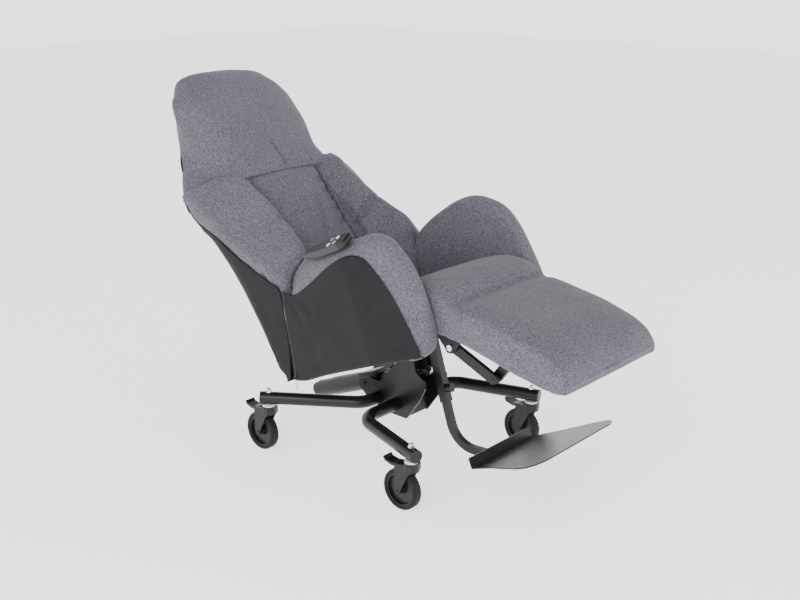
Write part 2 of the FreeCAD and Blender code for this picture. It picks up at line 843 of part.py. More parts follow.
legrest_frame = new_body("legrest_frame", KNEE_POINT, DROP)
box(
    legrest_frame, (56, size("legrest_length") - 30),
    (-size("legrest_half_width") + 25, size("legrest_half_width") - 25), (bottom, bottom + 12),
)
for side in (-1, 1):
    low, high = side_range(side, 134, 146)
    pad_outline(
        legrest_frame, "XZ", low, high,
        [
            (-14, 4), (-8, 13), (8, 13), (14, 4), (26, -4), (60, -4), (80, -4), (80, -15), (24, -17),
            (-6, -14), (-14, -6),
        ],
    )
    cut_ring(legrest_frame, "XZ", low, high, 0, 0, 6 + APART)
    low, high = side_range(side, 104, 110)
    pad_outline(
        legrest_frame, "XZ", low, high,
        [(120, -10), (180, -10), (170, -34), (158, -44), (142, -44), (132, -36)],
    )
    low, high = side_range(side, 108, 131)
    pad_ring(legrest_frame, "XZ", low, high, PUSH[0], PUSH[1], 6)

legrest_pad = new_body("legrest_pad", KNEE_POINT, DROP)
pad_top = size("legrest_top")
pad_front = size("legrest_length")
pad_outline(
    legrest_pad, "XZ", -size("legrest_half_width"), size("legrest_half_width"),
    [
        (50, bottom + 12.2), (pad_front - 8, bottom + 12.2), (pad_front, bottom + 40),
        (pad_front - 14, pad_top - 26), (pad_front - 50, pad_top - 8), (pad_front - 120, pad_top),
        (44, pad_top), (16, pad_top - 8), (18, pad_top - 30),
    ],
)

half_link = size("link_width") * 0.5


def link(label, start, finish, side, inner_end, pin_ends, pins):
    """A flat bar between two pivots, bored at the start, with a pin or a bore at the finish."""
    along = FreeCAD.Vector(finish[0] - start[0], 0, finish[1] - start[1])
    lean = math.degrees(math.atan2(along.z, along.x))
    piece = leant_body(label, (start[0], 0, start[1]), lean)
    low, high = side_range(side, inner_end, as_size(inner_end) + size("link_thickness"))
    run = along.Length
    pad_outline(
        piece, "XZ", low, high,
        [
            (-half_link, -6), (-half_link, 6), (-6, half_link), (run + 6, half_link),
            (half_link + run, 6), (half_link + run, -6), (run + 6, -half_link), (-6, -half_link),
        ],
    )
    cut_ring(piece, "XZ", low, high, 0, 0, 6 + APART)
    if pins:
        low, high = side_range(side, pin_ends[0], pin_ends[1])
        pad_ring(piece, "XZ", low, high, run, 0, 6)
    else:
        cut_ring(piece, "XZ", low, high, run, 0, 6 + APART)
    return piece


knee_point = FreeCAD.Vector(SIZES["knee_front"], 0, SIZES["knee_height"])
crank_point = from_shell(CRANK[0], CRANK[1])
drop = math.radians(SIZES["legrest_drop"])
push_reach = FreeCAD.Vector(
    PUSH[0] * math.cos(drop) + PUSH[1] * math.sin(drop),
    0,
    PUSH[1] * math.cos(drop) - PUSH[0] * math.sin(drop),
)
push_point = knee_point + push_reach
elbow_point = crank_point + push_reach


def flat(point):
    return (point.x, point.z)


cranks = []
pushers = []
for side in (-1, 1):
    cranks.append(
        link("crank_blank_%d" % side, flat(crank_point), flat(elbow_point), side, 134, (112, 150), True)
    )
    pushers.append(
        link("push_blank_%d" % side, flat(push_point), flat(elbow_point), side, 114, None, False)
    )
fused("crank_links", cranks)
fused("push_links", pushers)

# ---------------------------------------------------------------- foot support

SLEEVE_TOP = (39.4, -31.2)
ARM_START = 100
SLEEVE_END = 192
sleeve_point = from_shell(SLEEVE_TOP[0], SLEEVE_TOP[1])
sleeve = new_body("foot_sleeve", (sleeve_point.x, 0, sleeve_point.z), SIZES["sleeve_lean"])
half_depth = size("sleeve_depth") * 0.5
half_width = size("sleeve_width") * 0.5
square_tube(sleeve, "XY", -SLEEVE_END, 60, (-half_depth, -half_width), (half_depth, half_width), 2.5)
KNOB_DOWN = -150
cut_ring(sleeve, "YZ", 5, 20, 0, KNOB_DOWN, 4 + APART)

knob = new_body("foot_knob", (sleeve_point.x, 0, sleeve_point.z), SIZES["sleeve_lean"])
pad_ring(knob, "YZ", half_depth - 1, half_depth + 10, 0, KNOB_DOWN, 4)
pad_ring(knob, "YZ", half_depth + 3, half_depth + 22, 0, KNOB_DOWN, 13)
for turn in range(4):
    angle = math.radians(45 + 90 * turn)
    notch_y = 17 * math.cos(angle)
    notch_z = KNOB_DOWN + 17 * math.sin(angle)
    cut_ring(knob, "YZ", half_depth + 3, half_depth + 22, notch_y, notch_z, 6)

foot_arm = new_body("foot_arm")
lean = math.radians(SIZES["sleeve_lean"])
down = FreeCAD.Vector(math.sin(lean), 0, -math.cos(lean))
arm_top = sleeve_point + down * ARM_START
arm_path = new_sketch(foot_arm, "XZ")
ARM_LOWEST = 86
ARM_BEND = 90
arm_start = FreeCAD.Vector(arm_top.x, arm_top.z, 0)
arm_elbow = arm_start + FreeCAD.Vector(down.x, down.z, 0) * ((arm_top.z - ARM_LOWEST) / math.cos(lean))
arm_corners = [arm_start, arm_elbow, FreeCAD.Vector(400, 100, 0), FreeCAD.Vector(505.7, 147, 0)]
for curve in round_path(arm_corners, ARM_BEND):
    arm_path.addGeometry(curve, False)
arm_section = foot_arm.newObject("Sketcher::SketchObject", "foot_arm_section")
facing = FreeCAD.Rotation(FreeCAD.Vector(0, 1, 0), -SIZES["sleeve_lean"])
arm_section.Placement = FreeCAD.Placement(arm_top, facing)
section_half = half_depth - 3
rectangle(arm_section, -section_half, section_half, -half_width + 3, half_width - 3)
arm_pipe = foot_arm.newObject("PartDesign::AdditivePipe", "foot_arm_pipe")
arm_pipe.Profile = arm_section
arm_pipe.Spine = arm_path

foot_plate = new_body("foot_plate", (400, 0, 118), SIZES["plate_pitch"])
PLATE = [
    (0, -1.0), (0.30, -1.12), (0.72, -1.41), (0.86, -1.45), (0.95, -1.33), (1.0, -1.08),
]
edge = [(size("plate_length") * along, size("plate_heel_half") * across) for along, across in PLATE]
far_edge = [(along, -across) for along, across in reversed(edge)]
pad_outline(foot_plate, "XY", -size("plate_thickness"), 0, edge + far_edge)
box(
    foot_plate, (0, size("plate_thickness")), (-size("plate_heel_half"), size("plate_heel_half")),
    (0, size("flange_height")),
)

# ---------------------------------------------------------------- tilt actuator

ACTUATOR = (-size("actuator_back"), 0, size("actuator_height"))
SLOPE = SIZES["actuator_slope"]
BARREL_END = 150
actuator = new_body("actuator_body", ACTUATOR, SLOPE)
box(actuator, (-40, 34), (-27, 27), (-30, 30))
for low, high, radius in ((-190, -40, 1), (-262, -190, 0.93), (-285, -262, 0.8)):
    pad_ring(actuator, "YZ", low, high, 0, 0, size("motor_radius") * radius)
pad_ring(actuator, "YZ", 34, BARREL_END, 0, 0, 17)
for side in (-1, 1):
    low, high = side_range(side, 27, outer + 3)
    pad_ring(actuator, "XZ", low, high, 0, 0, 6)
cut_ring(actuator, "YZ", 20, BARREL_END, 0, 0, size("rod_radius") + APART)

rod = new_body("actuator_rod", ACTUATOR, SLOPE)
eye = size("actuator_length")
pad_ring(rod, "YZ", 70, eye - 10, 0, 0, size("rod_radius"))
pad_ring(rod, "XZ", -11, 11, eye, 0, EYE_BORE + 7)
cut_ring(rod, "XZ", -11, 11, eye, 0, EYE_BORE)

# ---------------------------------------------------------------- handset and cable

shell_turn = FreeCAD.Rotation(FreeCAD.Vector(0, -1, 0), TILT)
handset_turn = shell_turn.multiply(handset_lie)
pivot = AHEAD + FreeCAD.Vector(SIZES["pivot_front"], 0, SIZES["pivot_height"])
handset_place = FreeCAD.Placement(
    pivot + shell_turn.multVec(FreeCAD.Vector(*HANDSET_AT)), handset_turn
)


def handset_body(label):
    """A sub-part drawn in the handset's frame: X along it, Z out of its face."""
    piece = placed_body(label, handset_place)
    subparts.append(piece)
    return piece


half_long = size("handset_length") * 0.5
half_wide = size("handset_width") * 0.5
thick = size("handset_thickness")
BUTTONS = [(31, -11.5), (31, 11.5), (55, 11.5), (55, -11.5)]
handset = handset_body("handset_case")
pad_outline(
    handset, "XY", 1, thick,
    [
        (-half_long, -9), (-half_long + 40, -half_wide + 6), (-10, -half_wide),
        (half_long - 10, -half_wide), (half_long, -half_wide + 8), (half_long, half_wide - 8),
        (half_long - 10, half_wide), (-10, half_wide), (-half_long + 40, half_wide - 6), (-half_long, 9),
    ],
)
for along, across in BUTTONS:
    cut_ring(handset, "XY", thick - 5, thick, along, across, size("button_radius") + APART)
for number, (along, across) in enumerate(BUTTONS, start=1):
    button = handset_body("handset_button_%d" % number)
    pad_ring(button, "XY", thick - 3.5, thick + 1.5, along, across, size("button_radius"))

GLAND_FOOT = FreeCAD.Vector(-142, -331, 204)
GLAND_RISE = 18
gland = shell_body("cable_gland")
pad_ring(gland, "XY", GLAND_FOOT.z, GLAND_FOOT.z + GLAND_RISE, GLAND_FOOT.x, GLAND_FOOT.y, 5.8)

case_tail = handset_place.multVec(FreeCAD.Vector(-SIZES["handset_length"] / 2, 0, 12.5))


def in_chair(point):
    return pivot + shell_turn.multVec(point)


route = [
    in_chair(GLAND_FOOT + FreeCAD.Vector(0, 0, GLAND_RISE)),
    in_chair(FreeCAD.Vector(-132, -331, 264)),
    in_chair(FreeCAD.Vector(-89, -331, 292)),
    case_tail,
]


def cord(label, points, radius):
    """A round cable along straight runs joined by tangent arcs; prints its radii and volume check."""
    start = points[0]
    edges = []
    for before, corner, after in zip(points, points[1:], points[2:]):
        inward = before - corner
        outward = after - corner
        shorter = min(inward.Length, outward.Length)
        inward.normalize()
        outward.normalize()
        half_turn = (math.pi - inward.getAngle(outward)) / 2
        reach = 0.45 * shorter
        bend = reach / math.tan(half_turn)
        print("%s bend radius %.1f mm" % (label, bend))
        first = corner + inward * reach
        last = corner + outward * reach
        bisector = inward + outward
        bisector.normalize()
        middle = corner + bisector * (bend / math.cos(half_turn) - bend)
        edges.append(Part.LineSegment(start, first).toShape())
        edges.append(Part.Arc(first, middle, last).toShape())
        start = last
    edges.append(Part.LineSegment(start, points[-1]).toShape())
    spine = Part.Wire(edges)
    section = Part.Wire(Part.makeCircle(radius, points[0], points[1] - points[0]))
    solid = spine.makePipeShell([section], True, False)
    ratio = solid.Volume / (math.pi * radius ** 2 * spine.Length)
    print("%s length %.1f mm, volume ratio %.4f" % (label, spine.Length, ratio))
    piece = doc.addObject("Part::Feature", label)
    piece.Label = label
    piece.Shape = solid
    subparts.append(piece)
    return piece


cord("handset_cable", route, SIZES["cable_radius"])
for point in route:
    print("cable point %.1f %.1f %.1f" % (point.x, point.y, point.z))

# ---------------------------------------------------------------- check and write

doc.recompute()
os.makedirs("parts", exist_ok=True)
for thing in doc.Objects:
    if "Invalid" in thing.State or "Error" in thing.State:
        raise RuntimeError("%s: %s" % (thing.Name, thing.State))
for piece in subparts:
    if piece.Shape.isNull() or not piece.Shape.isValid():
        raise RuntimeError("bad shape: " + piece.Label)
    piece.Shape.exportStep("parts/%s.step" % piece.Label)
print("wrote %d sub-parts" % len(subparts))
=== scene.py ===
import json
import math

import bmesh
import bpy
import numpy as np
from mathutils import Matrix, Vector, noise


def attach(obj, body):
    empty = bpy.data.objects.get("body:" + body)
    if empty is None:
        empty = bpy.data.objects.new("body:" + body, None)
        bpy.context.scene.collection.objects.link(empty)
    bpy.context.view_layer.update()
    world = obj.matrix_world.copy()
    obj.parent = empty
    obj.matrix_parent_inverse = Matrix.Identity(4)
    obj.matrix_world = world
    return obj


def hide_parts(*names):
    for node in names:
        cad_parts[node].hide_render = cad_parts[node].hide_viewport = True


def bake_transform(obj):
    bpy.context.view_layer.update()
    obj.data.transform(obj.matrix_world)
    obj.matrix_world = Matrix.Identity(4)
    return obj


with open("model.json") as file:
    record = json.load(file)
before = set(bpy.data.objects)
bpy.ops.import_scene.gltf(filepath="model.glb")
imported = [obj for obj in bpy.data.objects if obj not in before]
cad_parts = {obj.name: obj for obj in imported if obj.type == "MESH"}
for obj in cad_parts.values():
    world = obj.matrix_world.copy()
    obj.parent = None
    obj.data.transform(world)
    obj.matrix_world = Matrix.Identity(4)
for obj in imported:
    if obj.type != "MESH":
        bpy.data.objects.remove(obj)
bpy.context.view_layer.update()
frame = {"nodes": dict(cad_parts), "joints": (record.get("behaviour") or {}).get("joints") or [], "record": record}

SCENE = bpy.context.scene
JOINTS = {joint["name"]: joint for joint in frame["joints"]}
MM = 0.001
HANDS = (("right", -1), ("left", 1))

# ------------------------------------------------------------------ the chair's own frames
# The shapes of cushions, covers, zips and handset are given in millimetres in one of these
# frames; the functions below turn them into metres in the object's frame.

TILT = math.radians(21)
RECLINE = math.radians(21.2)
DROP = math.radians(10.4)
BACK_CORNER = (-281, 8)
PIVOT = np.array(JOINTS["tilt_hinge"]["pos_m"])
KNEE = np.array(JOINTS["legrest_hinge"]["pos_m"])


def turned(forward, up, lean):
    """A point of the XZ plane after leaning back by an angle."""
    return (
        forward * np.cos(lean) - up * np.sin(lean),
        forward * np.sin(lean) + up * np.cos(lean),
    )


def shell_points(points):
    """From the shell's level frame: X forward, Y left, Z up, origin at the tilt pivot."""
    points = np.asarray(points, float)
    forward, up = turned(points[..., 0], points[..., 2], TILT)
    return PIVOT + MM * np.stack([forward, points[..., 1], up], axis=-1)


def back_points(points):
    """From the backrest's frame: X out of the back's front, Z up along it, origin at its foot."""
    points = np.asarray(points, float)
    forward, up = turned(points[..., 0], points[..., 2], RECLINE)
    forward = forward + BACK_CORNER[0]
    up = up + BACK_CORNER[1]
    return shell_points(np.stack([forward, points[..., 1], up], axis=-1))


def legrest_points(points):
    """From the legrest's frame: X along it, Z out of its top, origin at the knee hinge."""
    points = np.asarray(points, float)
    forward, up = turned(points[..., 0], points[..., 2], -DROP)
    return KNEE + MM * np.stack([forward, points[..., 1], up], axis=-1)


# ------------------------------------------------------------------ camera

TARGET = Vector((0.0407, -0.0021, 0.5010))
AZIMUTH = math.radians(41.81)
ELEVATION = math.radians(17.81)
DISTANCE = 3.394
ROLL = math.radians(-0.17)
LENS = 49.70
SENSOR_WIDTH = 36


def make_camera():
    """Stand before the chair's right side, a little above it."""
    camera = bpy.data.objects.new("camera", bpy.data.cameras.new("camera"))
    SCENE.collection.objects.link(camera)
    camera.data.lens = LENS
    camera.data.sensor_width = SENSOR_WIDTH
    away = Vector((
        math.sin(AZIMUTH) * math.cos(ELEVATION),
        -math.cos(AZIMUTH) * math.cos(ELEVATION),
        math.sin(ELEVATION),
    ))
    facing = away.to_track_quat("Z", "Y").to_matrix().to_4x4()
    place = Matrix.Translation(TARGET + away * DISTANCE)
    camera.matrix_world = place @ facing @ Matrix.Rotation(-ROLL, 4, "Z")
    SCENE.camera = camera


make_camera()

# ------------------------------------------------------------------ materials


class Nodes:
    """A material's node tree, with short ways to add and join nodes."""

    def __init__(self, name):
        self.material = bpy.data.materials.new(name)
        self.material.use_nodes = True
        self.tree = self.material.node_tree
        self.shader = self.tree.nodes["Principled BSDF"]
        self.place = self.add("ShaderNodeTexCoord").outputs["Object"]

    def add(self, kind, **settings):
        node = self.tree.nodes.new(kind)
        for key, value in settings.items():
            setattr(node, key, value)
        return node

    def join(self, output, node_input):
        self.tree.links.new(output, node_input)

    def noise(self, scale, detail=3.0, roughness=0.5, stretch=None):
        node = self.add("ShaderNodeTexNoise")
        node.inputs["Scale"].default_value = scale
        node.inputs["Detail"].default_value = detail
        node.inputs["Roughness"].default_value = roughness
        if stretch is None:
            self.join(self.place, node.inputs["Vector"])
        else:
            mapping = self.add("ShaderNodeMapping")
            mapping.inputs["Scale"].default_value = stretch
            self.join(self.place, mapping.inputs["Vector"])
            self.join(mapping.outputs["Vector"], node.inputs["Vector"])
        return node.outputs["Fac"]

    def ramp(self, value, stops):
        node = self.add("ShaderNodeValToRGB")
        elements = node.color_ramp.elements
        while len(elements) < len(stops):
            elements.new(0.5)
        for element, (position, color) in zip(elements, stops):
            element.position = position
            element.color = (*color, 1)
        self.join(value, node.inputs["Fac"])
        return node.outputs["Color"]

    def mix(self, share, first, second, blend="MIX"):
        node = self.add("ShaderNodeMix", data_type="RGBA", blend_type=blend)
        sockets = (node.inputs[0], node.inputs[6], node.inputs[7])
        for value, socket in zip((share, first, second), sockets):
            if isinstance(value, bpy.types.NodeSocket):
                self.join(value, socket)
            else:
                socket.default_value = value if isinstance(value, float) else (*value, 1)
        return node.outputs[2]

    def bump(self, height, strength, distance, under=None):
        node = self.add("ShaderNodeBump")
        node.inputs["Strength"].default_value = strength
        node.inputs["Distance"].default_value = distance
        self.join(height, node.inputs["Height"])
        if under is not None:
            self.join(under, node.inputs["Normal"])
        return node.outputs["Normal"]

    def spread(self, value, low, high):
        node = self.add("ShaderNodeMapRange")
        node.inputs["To Min"].default_value = low
        node.inputs["To Max"].default_value = high
        self.join(value, node.inputs["Value"])
        return node.outputs["Result"]

    def finish(self, color=None, roughness=None, normal=None, **plain):
        for output, name in ((color, "Base Color"), (roughness, "Roughness"), (normal, "Normal")):
            if output is not None:
                self.join(output, self.shader.inputs[name])
        for name, value in plain.items():
            self.shader.inputs[name.replace("_", " ")].default_value = value
        return self.material


def fabric_material():
    """Mottled grey woven upholstery: two yarns, soft pile and a faint larger shading."""
    nodes = Nodes("grey_fabric")
    yarn = nodes.noise(420, 2.0, 0.6)
    slub = nodes.noise(150, 4.0, 0.7)
    cloud = nodes.noise(9, 3.0, 0.5)
    fine = nodes.ramp(yarn, [(0.34, (0.060, 0.056, 0.072)), (0.66, (0.215, 0.205, 0.240))])
    coarse = nodes.ramp(slub, [(0.36, (0.62, 0.61, 0.64)), (0.64, (1.0, 1.0, 1.0))])
    soft = nodes.ramp(cloud, [(0.3, (0.90, 0.90, 0.92)), (0.7, (1.0, 1.0, 1.0))])
    color = nodes.mix(1.0, fine, coarse, "MULTIPLY")
    color = nodes.mix(1.0, color, soft, "MULTIPLY")
    pile = nodes.bump(slub, 0.35, 0.0016)
    weave = nodes.bump(yarn, 0.55, 0.0009, pile)
    return nodes.finish(
        color, nodes.spread(slub, 0.86, 0.98), weave,
        Sheen_Weight=0.12, Sheen_Roughness=0.5, Specular_IOR_Level=0.12,
    )


def vinyl_material():
    """Dark coated cover cloth with a fine leather grain."""
    nodes = Nodes("dark_vinyl")
    grain = nodes.noise(650, 3.0, 0.6)
    crease = nodes.noise(14, 4.0, 0.6)
    color = nodes.ramp(crease, [(0.3, (0.009, 0.009, 0.0105)), (0.7, (0.013, 0.013, 0.0145))])
    under = nodes.bump(crease, 0.25, 0.004)
    normal = nodes.bump(grain, 0.25, 0.0004, under)
    return nodes.finish(
        color, nodes.spread(grain, 0.52, 0.68), normal, Specular_IOR_Level=0.14,
    )


def coated_steel_material():
    """Black powder-coated steel with a fine orange-peel surface."""
    nodes = Nodes("black_steel")
    peel = nodes.noise(900, 2.0, 0.5)
    wear = nodes.noise(30, 5.0, 0.65)
    color = nodes.ramp(wear, [(0.4, (0.004, 0.004, 0.0045)), (0.75, (0.007, 0.007, 0.0075))])
    return nodes.finish(
        color, nodes.spread(wear, 0.26, 0.40), nodes.bump(peel, 0.18, 0.0003),
        Specular_IOR_Level=0.3,
    )


def bright_metal_material(name, shade, low, high, scratch):
    """Plated or polished metal with faint turning marks."""
    nodes = Nodes(name)
    marks = nodes.noise(scratch, 4.0, 0.6, (1, 1, 12))
    color = nodes.ramp(marks, [(0.3, tuple(0.86 * part for part in shade)), (0.7, shade)])
    return nodes.finish(
        color, nodes.spread(marks, low, high), nodes.bump(marks, 0.08, 0.0002), Metallic=1.0,
    )


def moulded_material(name, shade, low=0.42, high=0.6, grain_scale=1100, shine=0.5):
    """Moulded plastic with a fine spark-eroded texture."""
    nodes = Nodes(name)
    grain = nodes.noise(grain_scale, 2.0, 0.5)
    dust = nodes.noise(40, 4.0, 0.6)
    lighter = tuple(min(1.0, part * 1.25 + 0.002) for part in shade)
    color = nodes.ramp(dust, [(0.35, shade), (0.75, lighter)])
    return nodes.finish(
        color, nodes.spread(dust, low, high), nodes.bump(grain, 0.2, 0.0003),
        Specular_IOR_Level=shine,
    )


def tape_material():
    """Ribbed woven tape of a zip."""
    nodes = Nodes("zip_tape")
    rib = nodes.add("ShaderNodeTexWave", bands_direction="Z")
    rib.inputs["Scale"].default_value = 160
    rib.inputs["Distortion"].default_value = 0.6
    nodes.join(nodes.place, rib.inputs["Vector"])
    color = nodes.ramp(rib.outputs["Fac"], [(0.2, (0.008, 0.008, 0.009)), (0.8, (0.03, 0.03, 0.032))])
    return nodes.finish(
        color, nodes.spread(rib.outputs["Fac"], 0.6, 0.8), nodes.bump(rib.outputs["Fac"], 0.5, 0.0006),
    )


def plywood_material():
    """Birch plywood with long grain."""
    nodes = Nodes("plywood")
    grain = nodes.noise(30, 6.0, 0.65, (0.4, 6, 1))
    color = nodes.ramp(grain, [(0.3, (0.36, 0.24, 0.13)), (0.7, (0.56, 0.40, 0.24))])
    return nodes.finish(color, nodes.spread(grain, 0.55, 0.7), nodes.bump(grain, 0.3, 0.0005))


MATERIALS = {
    "grey_fabric": fabric_material(),
    "dark_vinyl": vinyl_material(),
    "black_steel": coated_steel_material(),
    "bright_zinc": bright_metal_material("bright_zinc", (0.78, 0.78, 0.76), 0.2, 0.34, 160),
    "rod_steel": bright_metal_material("rod_steel", (0.82, 0.82, 0.83), 0.08, 0.16, 220),
    "white_nylon": moulded_material("white_nylon", (0.62, 0.69, 0.78), 0.35, 0.5),
    "black_plastic": moulded_material("black_plastic", (0.006, 0.006, 0.0065), 0.3, 0.45, shine=0.3),
    "black_tread": moulded_material("black_tread", (0.009, 0.009, 0.010), 0.55, 0.75, 500, 0.15),
    "zip_tape": tape_material(),
    "plywood": plywood_material(),
    "cable_black": moulded_material("cable_black", (0.008, 0.008, 0.009), 0.4, 0.55, shine=0.3),
    "button_white": moulded_material("button_white", (0.72, 0.72, 0.72), 0.3, 0.4),
    "button_green": moulded_material("button_green", (0.05, 0.48, 0.12), 0.3, 0.4),
    "button_grey": moulded_material("button_grey", (0.30, 0.30, 0.32), 0.3, 0.4),
}

for row in frame["record"]["subparts"]:
    node = frame["nodes"][row["node"]]
    node.data.materials.clear()
    node.data.materials.append(MATERIALS[row["material_slot"]])


# ------------------------------------------------------------------ mesh building

def spline(points, count, closed=False):
    """A Catmull-Rom curve through an array's first axis."""
    points = np.asarray(points, float)
    total = len(points)
    spans = total if closed else total - 1
    where = np.linspace(0, spans, count, endpoint=not closed)
    first = np.minimum(where.astype(int), spans - 1)
    share = (where - first).reshape(-1, *[1] * (points.ndim - 1))

    def at(shift):
        index = first + shift
        return points[index % total] if closed else points[np.clip(index, 0, total - 1)]

    before, start, end, after = at(-1), at(0), at(1), at(2)
    return 0.5 * (
        2 * start + (end - before) * share
        + (2 * before - 5 * start + 4 * end - after) * share ** 2
        + (3 * start - before - 3 * end + after) * share ** 3
    )


def evened(curve, count, closed=False):
    """The same curve with its points spaced evenly along it."""
    line = np.vstack([curve, curve[:1]]) if closed else curve
    steps = np.linalg.norm(np.diff(line, axis=0), axis=1)
    along = np.concatenate([[0], np.cumsum(steps)])
    wanted = np.linspace(0, along[-1], count, endpoint=not closed)
    return np.stack([np.interp(wanted, along, line[:, axis]) for axis in range(3)], axis=-1)


def sheet_normals(grid, around=True):
    """Outward normals of a grid of points, rows by columns, the columns running round."""
    down = np.gradient(grid, axis=0)
    if around:
        across = (np.roll(grid, -1, axis=1) - np.roll(grid, 1, axis=1)) / 2
    else:
        across = np.gradient(grid, axis=1)
    normal = np.cross(across, down)
    size = np.linalg.norm(normal, axis=-1, keepdims=True)
    normal = normal / np.maximum(size, 1e-9)
    if around and np.sum(normal * (grid - grid.mean(axis=1, keepdims=True))) < 0:
        normal = -normal
    return normal


def mesh_from(name, vertices, faces, material, smooth=True):
    mesh = bpy.data.meshes.new(name)
    mesh.from_pydata([tuple(point) for point in vertices], [], faces)
    mesh.update()
    mesh.materials.append(MATERIALS[material])
    if smooth:
        mesh.polygons.foreach_set("use_smooth", [True] * len(mesh.polygons))
    piece = bpy.data.objects.new(name, mesh)
    SCENE.collection.objects.link(piece)
    return piece


def outward(piece):
    """Turn every face outwards."""
    work = bmesh.new()
    work.from_mesh(piece.data)
    bmesh.ops.recalc_face_normals(work, faces=work.faces)
    work.to_mesh(piece.data)
    work.free()


def tube_mesh(name, grid, material):
    """A closed skin over a grid whose columns run round: rows of rings, with a cap on each end."""
    rows, columns = grid.shape[:2]
    vertices = list(grid.reshape(-1, 3))
    faces = []
    for row in range(rows - 1):
        for column in range(columns):
            beside = (column + 1) % columns
            faces.append((
                row * columns + column, row * columns + beside,
                (row + 1) * columns + beside, (row + 1) * columns + column,
            ))
    for row, turned_over in ((0, True), (rows - 1, False)):
        middle = len(vertices)
        vertices.append(grid[row].mean(axis=0))
        for column in range(columns):
            pair = (row * columns + column, row * columns + (column + 1) % columns)
            faces.append((*(reversed(pair) if turned_over else pair), middle))
    piece = mesh_from(name, vertices, faces, material)
    outward(piece)
    return piece


def loft(rings, along, around):
    """Rings of a few points each, smoothed both ways into a grid of along by around points."""
    rings = [evened(spline(ring, 6 * around, closed=True), around, closed=True) for ring in rings]
    return spline(np.array(rings), along)


def shrunk(ring, share, shift):
    """A ring drawn in towards its middle and moved."""
    ring = np.asarray(ring, float)
    middle = ring.mean(axis=0)
    return middle + (ring - middle) * share + np.asarray(shift, float)


def domed(rings, start_shift, end_shift):
    """Close the ends of a row of rings with shallow domes."""
    shares = ((0.93, 0.5), (0.7, 0.85), (0.35, 1.0))
    first = [shrunk(rings[0], share, np.array(start_shift) * rise) for share, rise in shares]
    last = [shrunk(rings[-1], share, np.array(end_shift) * rise) for share, rise in shares]
    return list(reversed(first)) + list(rings) + last


def distance_to_path(points, path):
    """How far each point is from a path of straight runs."""
    nearest = np.full(points.shape[:-1], np.inf)
    for start, end in zip(path[:-1], path[1:]):
        run = end - start
        share = np.clip(((points - start) @ run) / max(run @ run, 1e-12), 0, 1)
        gap = points - (start + share[..., None] * run)
        nearest = np.minimum(nearest, np.linalg.norm(gap, axis=-1))
    return nearest


def pressed(grid, path, depth, width, around=True):
    """Sink a groove into the surface below a path; depth and width in millimetres."""
    flat = grid.reshape(-1, 3)
    above = spline(path, 10 * len(path))
    below = [flat[np.argmin(np.linalg.norm(flat - point, axis=1))] for point in above]
    line = [np.mean(below[max(at - 3, 0):at + 4], axis=0) for at in range(len(below))]
    gap = distance_to_path(grid, line)
    sink = depth * MM * np.exp(-(gap / (width * MM)) ** 2)
    return grid - sheet_normals(grid, around) * sink[..., None]


def rumpled(grid, amount, reach, seed, around=True):
    """Soft unevenness of stuffed cloth; amount and reach in millimetres."""
    flat = grid.reshape(-1, 3)
    offset = Vector((seed * 3.1, seed * 1.7, seed * 2.3))
    lift = [noise.noise(Vector(point) / (reach * MM) + offset) for point in flat]
    lift = np.array(lift).reshape(grid.shape[:-1])
    return grid + sheet_normals(grid, around) * lift[..., None] * amount * MM


# ------------------------------------------------------------------ handset cable
# Its route, radius and length are in metres in the object's frame.

CABLE_ROUTE = [
    (-0.0891, -0.3310, 0.5714), (-0.0948, -0.3310, 0.6142), (-0.0647, -0.3310, 0.6557),
    (-0.0409, -0.3219, 0.6897),
]
CABLE_RADIUS = 0.0035
RELIEF_PROFILE = [
    # distance along the cable and radius, in millimetres
    (-2, 6.2), (0, 6.4), (3, 6.2), (6, 5.4), (9, 5.6), (12, 4.7), (15, 4.9), (18, 4.1), (22, 3.8),
    (23, 3.5),
]
RELIEF_SIDES = 24


def make_cable():
    """The handset's cable, with a tapered relief where it leaves its gland in the arm."""
    data = bpy.data.curves.new("handset_cable_skin", "CURVE")
    data.dimensions = "3D"
    data.bevel_depth = CABLE_RADIUS
    data.bevel_resolution = 6
    data.resolution_u = 24
    data.use_fill_caps = True
    line = data.splines.new("NURBS")
    line.points.add(len(CABLE_ROUTE) - 1)
    for point, place in zip(line.points, CABLE_ROUTE):
        point.co = (*place, 1)
    line.order_u = 3
    line.use_endpoint_u = True
    data.materials.append(MATERIALS["cable_black"])
    cable = bpy.data.objects.new("handset_cable_skin", data)
    SCENE.collection.objects.link(cable)
    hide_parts("handset_cable")
    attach(cable, "shell")

    start = Vector(CABLE_ROUTE[0])
    heading = (Vector(CABLE_ROUTE[1]) - start).normalized()
    side = heading.orthogonal().normalized()
    up = heading.cross(side)
    rings = []
    for along, radius in RELIEF_PROFILE:
        middle = start + heading * along * MM
        rings.append([
            list(middle + (side * math.cos(turn) + up * math.sin(turn)) * radius * MM)
            for turn in np.linspace(0, 2 * math.pi, RELIEF_SIDES, endpoint=False)
        ])
    relief = tube_mesh("cable_strain_relief", np.array(rings), "cable_black")
    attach(relief, "shell")


make_cable()

# ------------------------------------------------------------------ seat and legrest

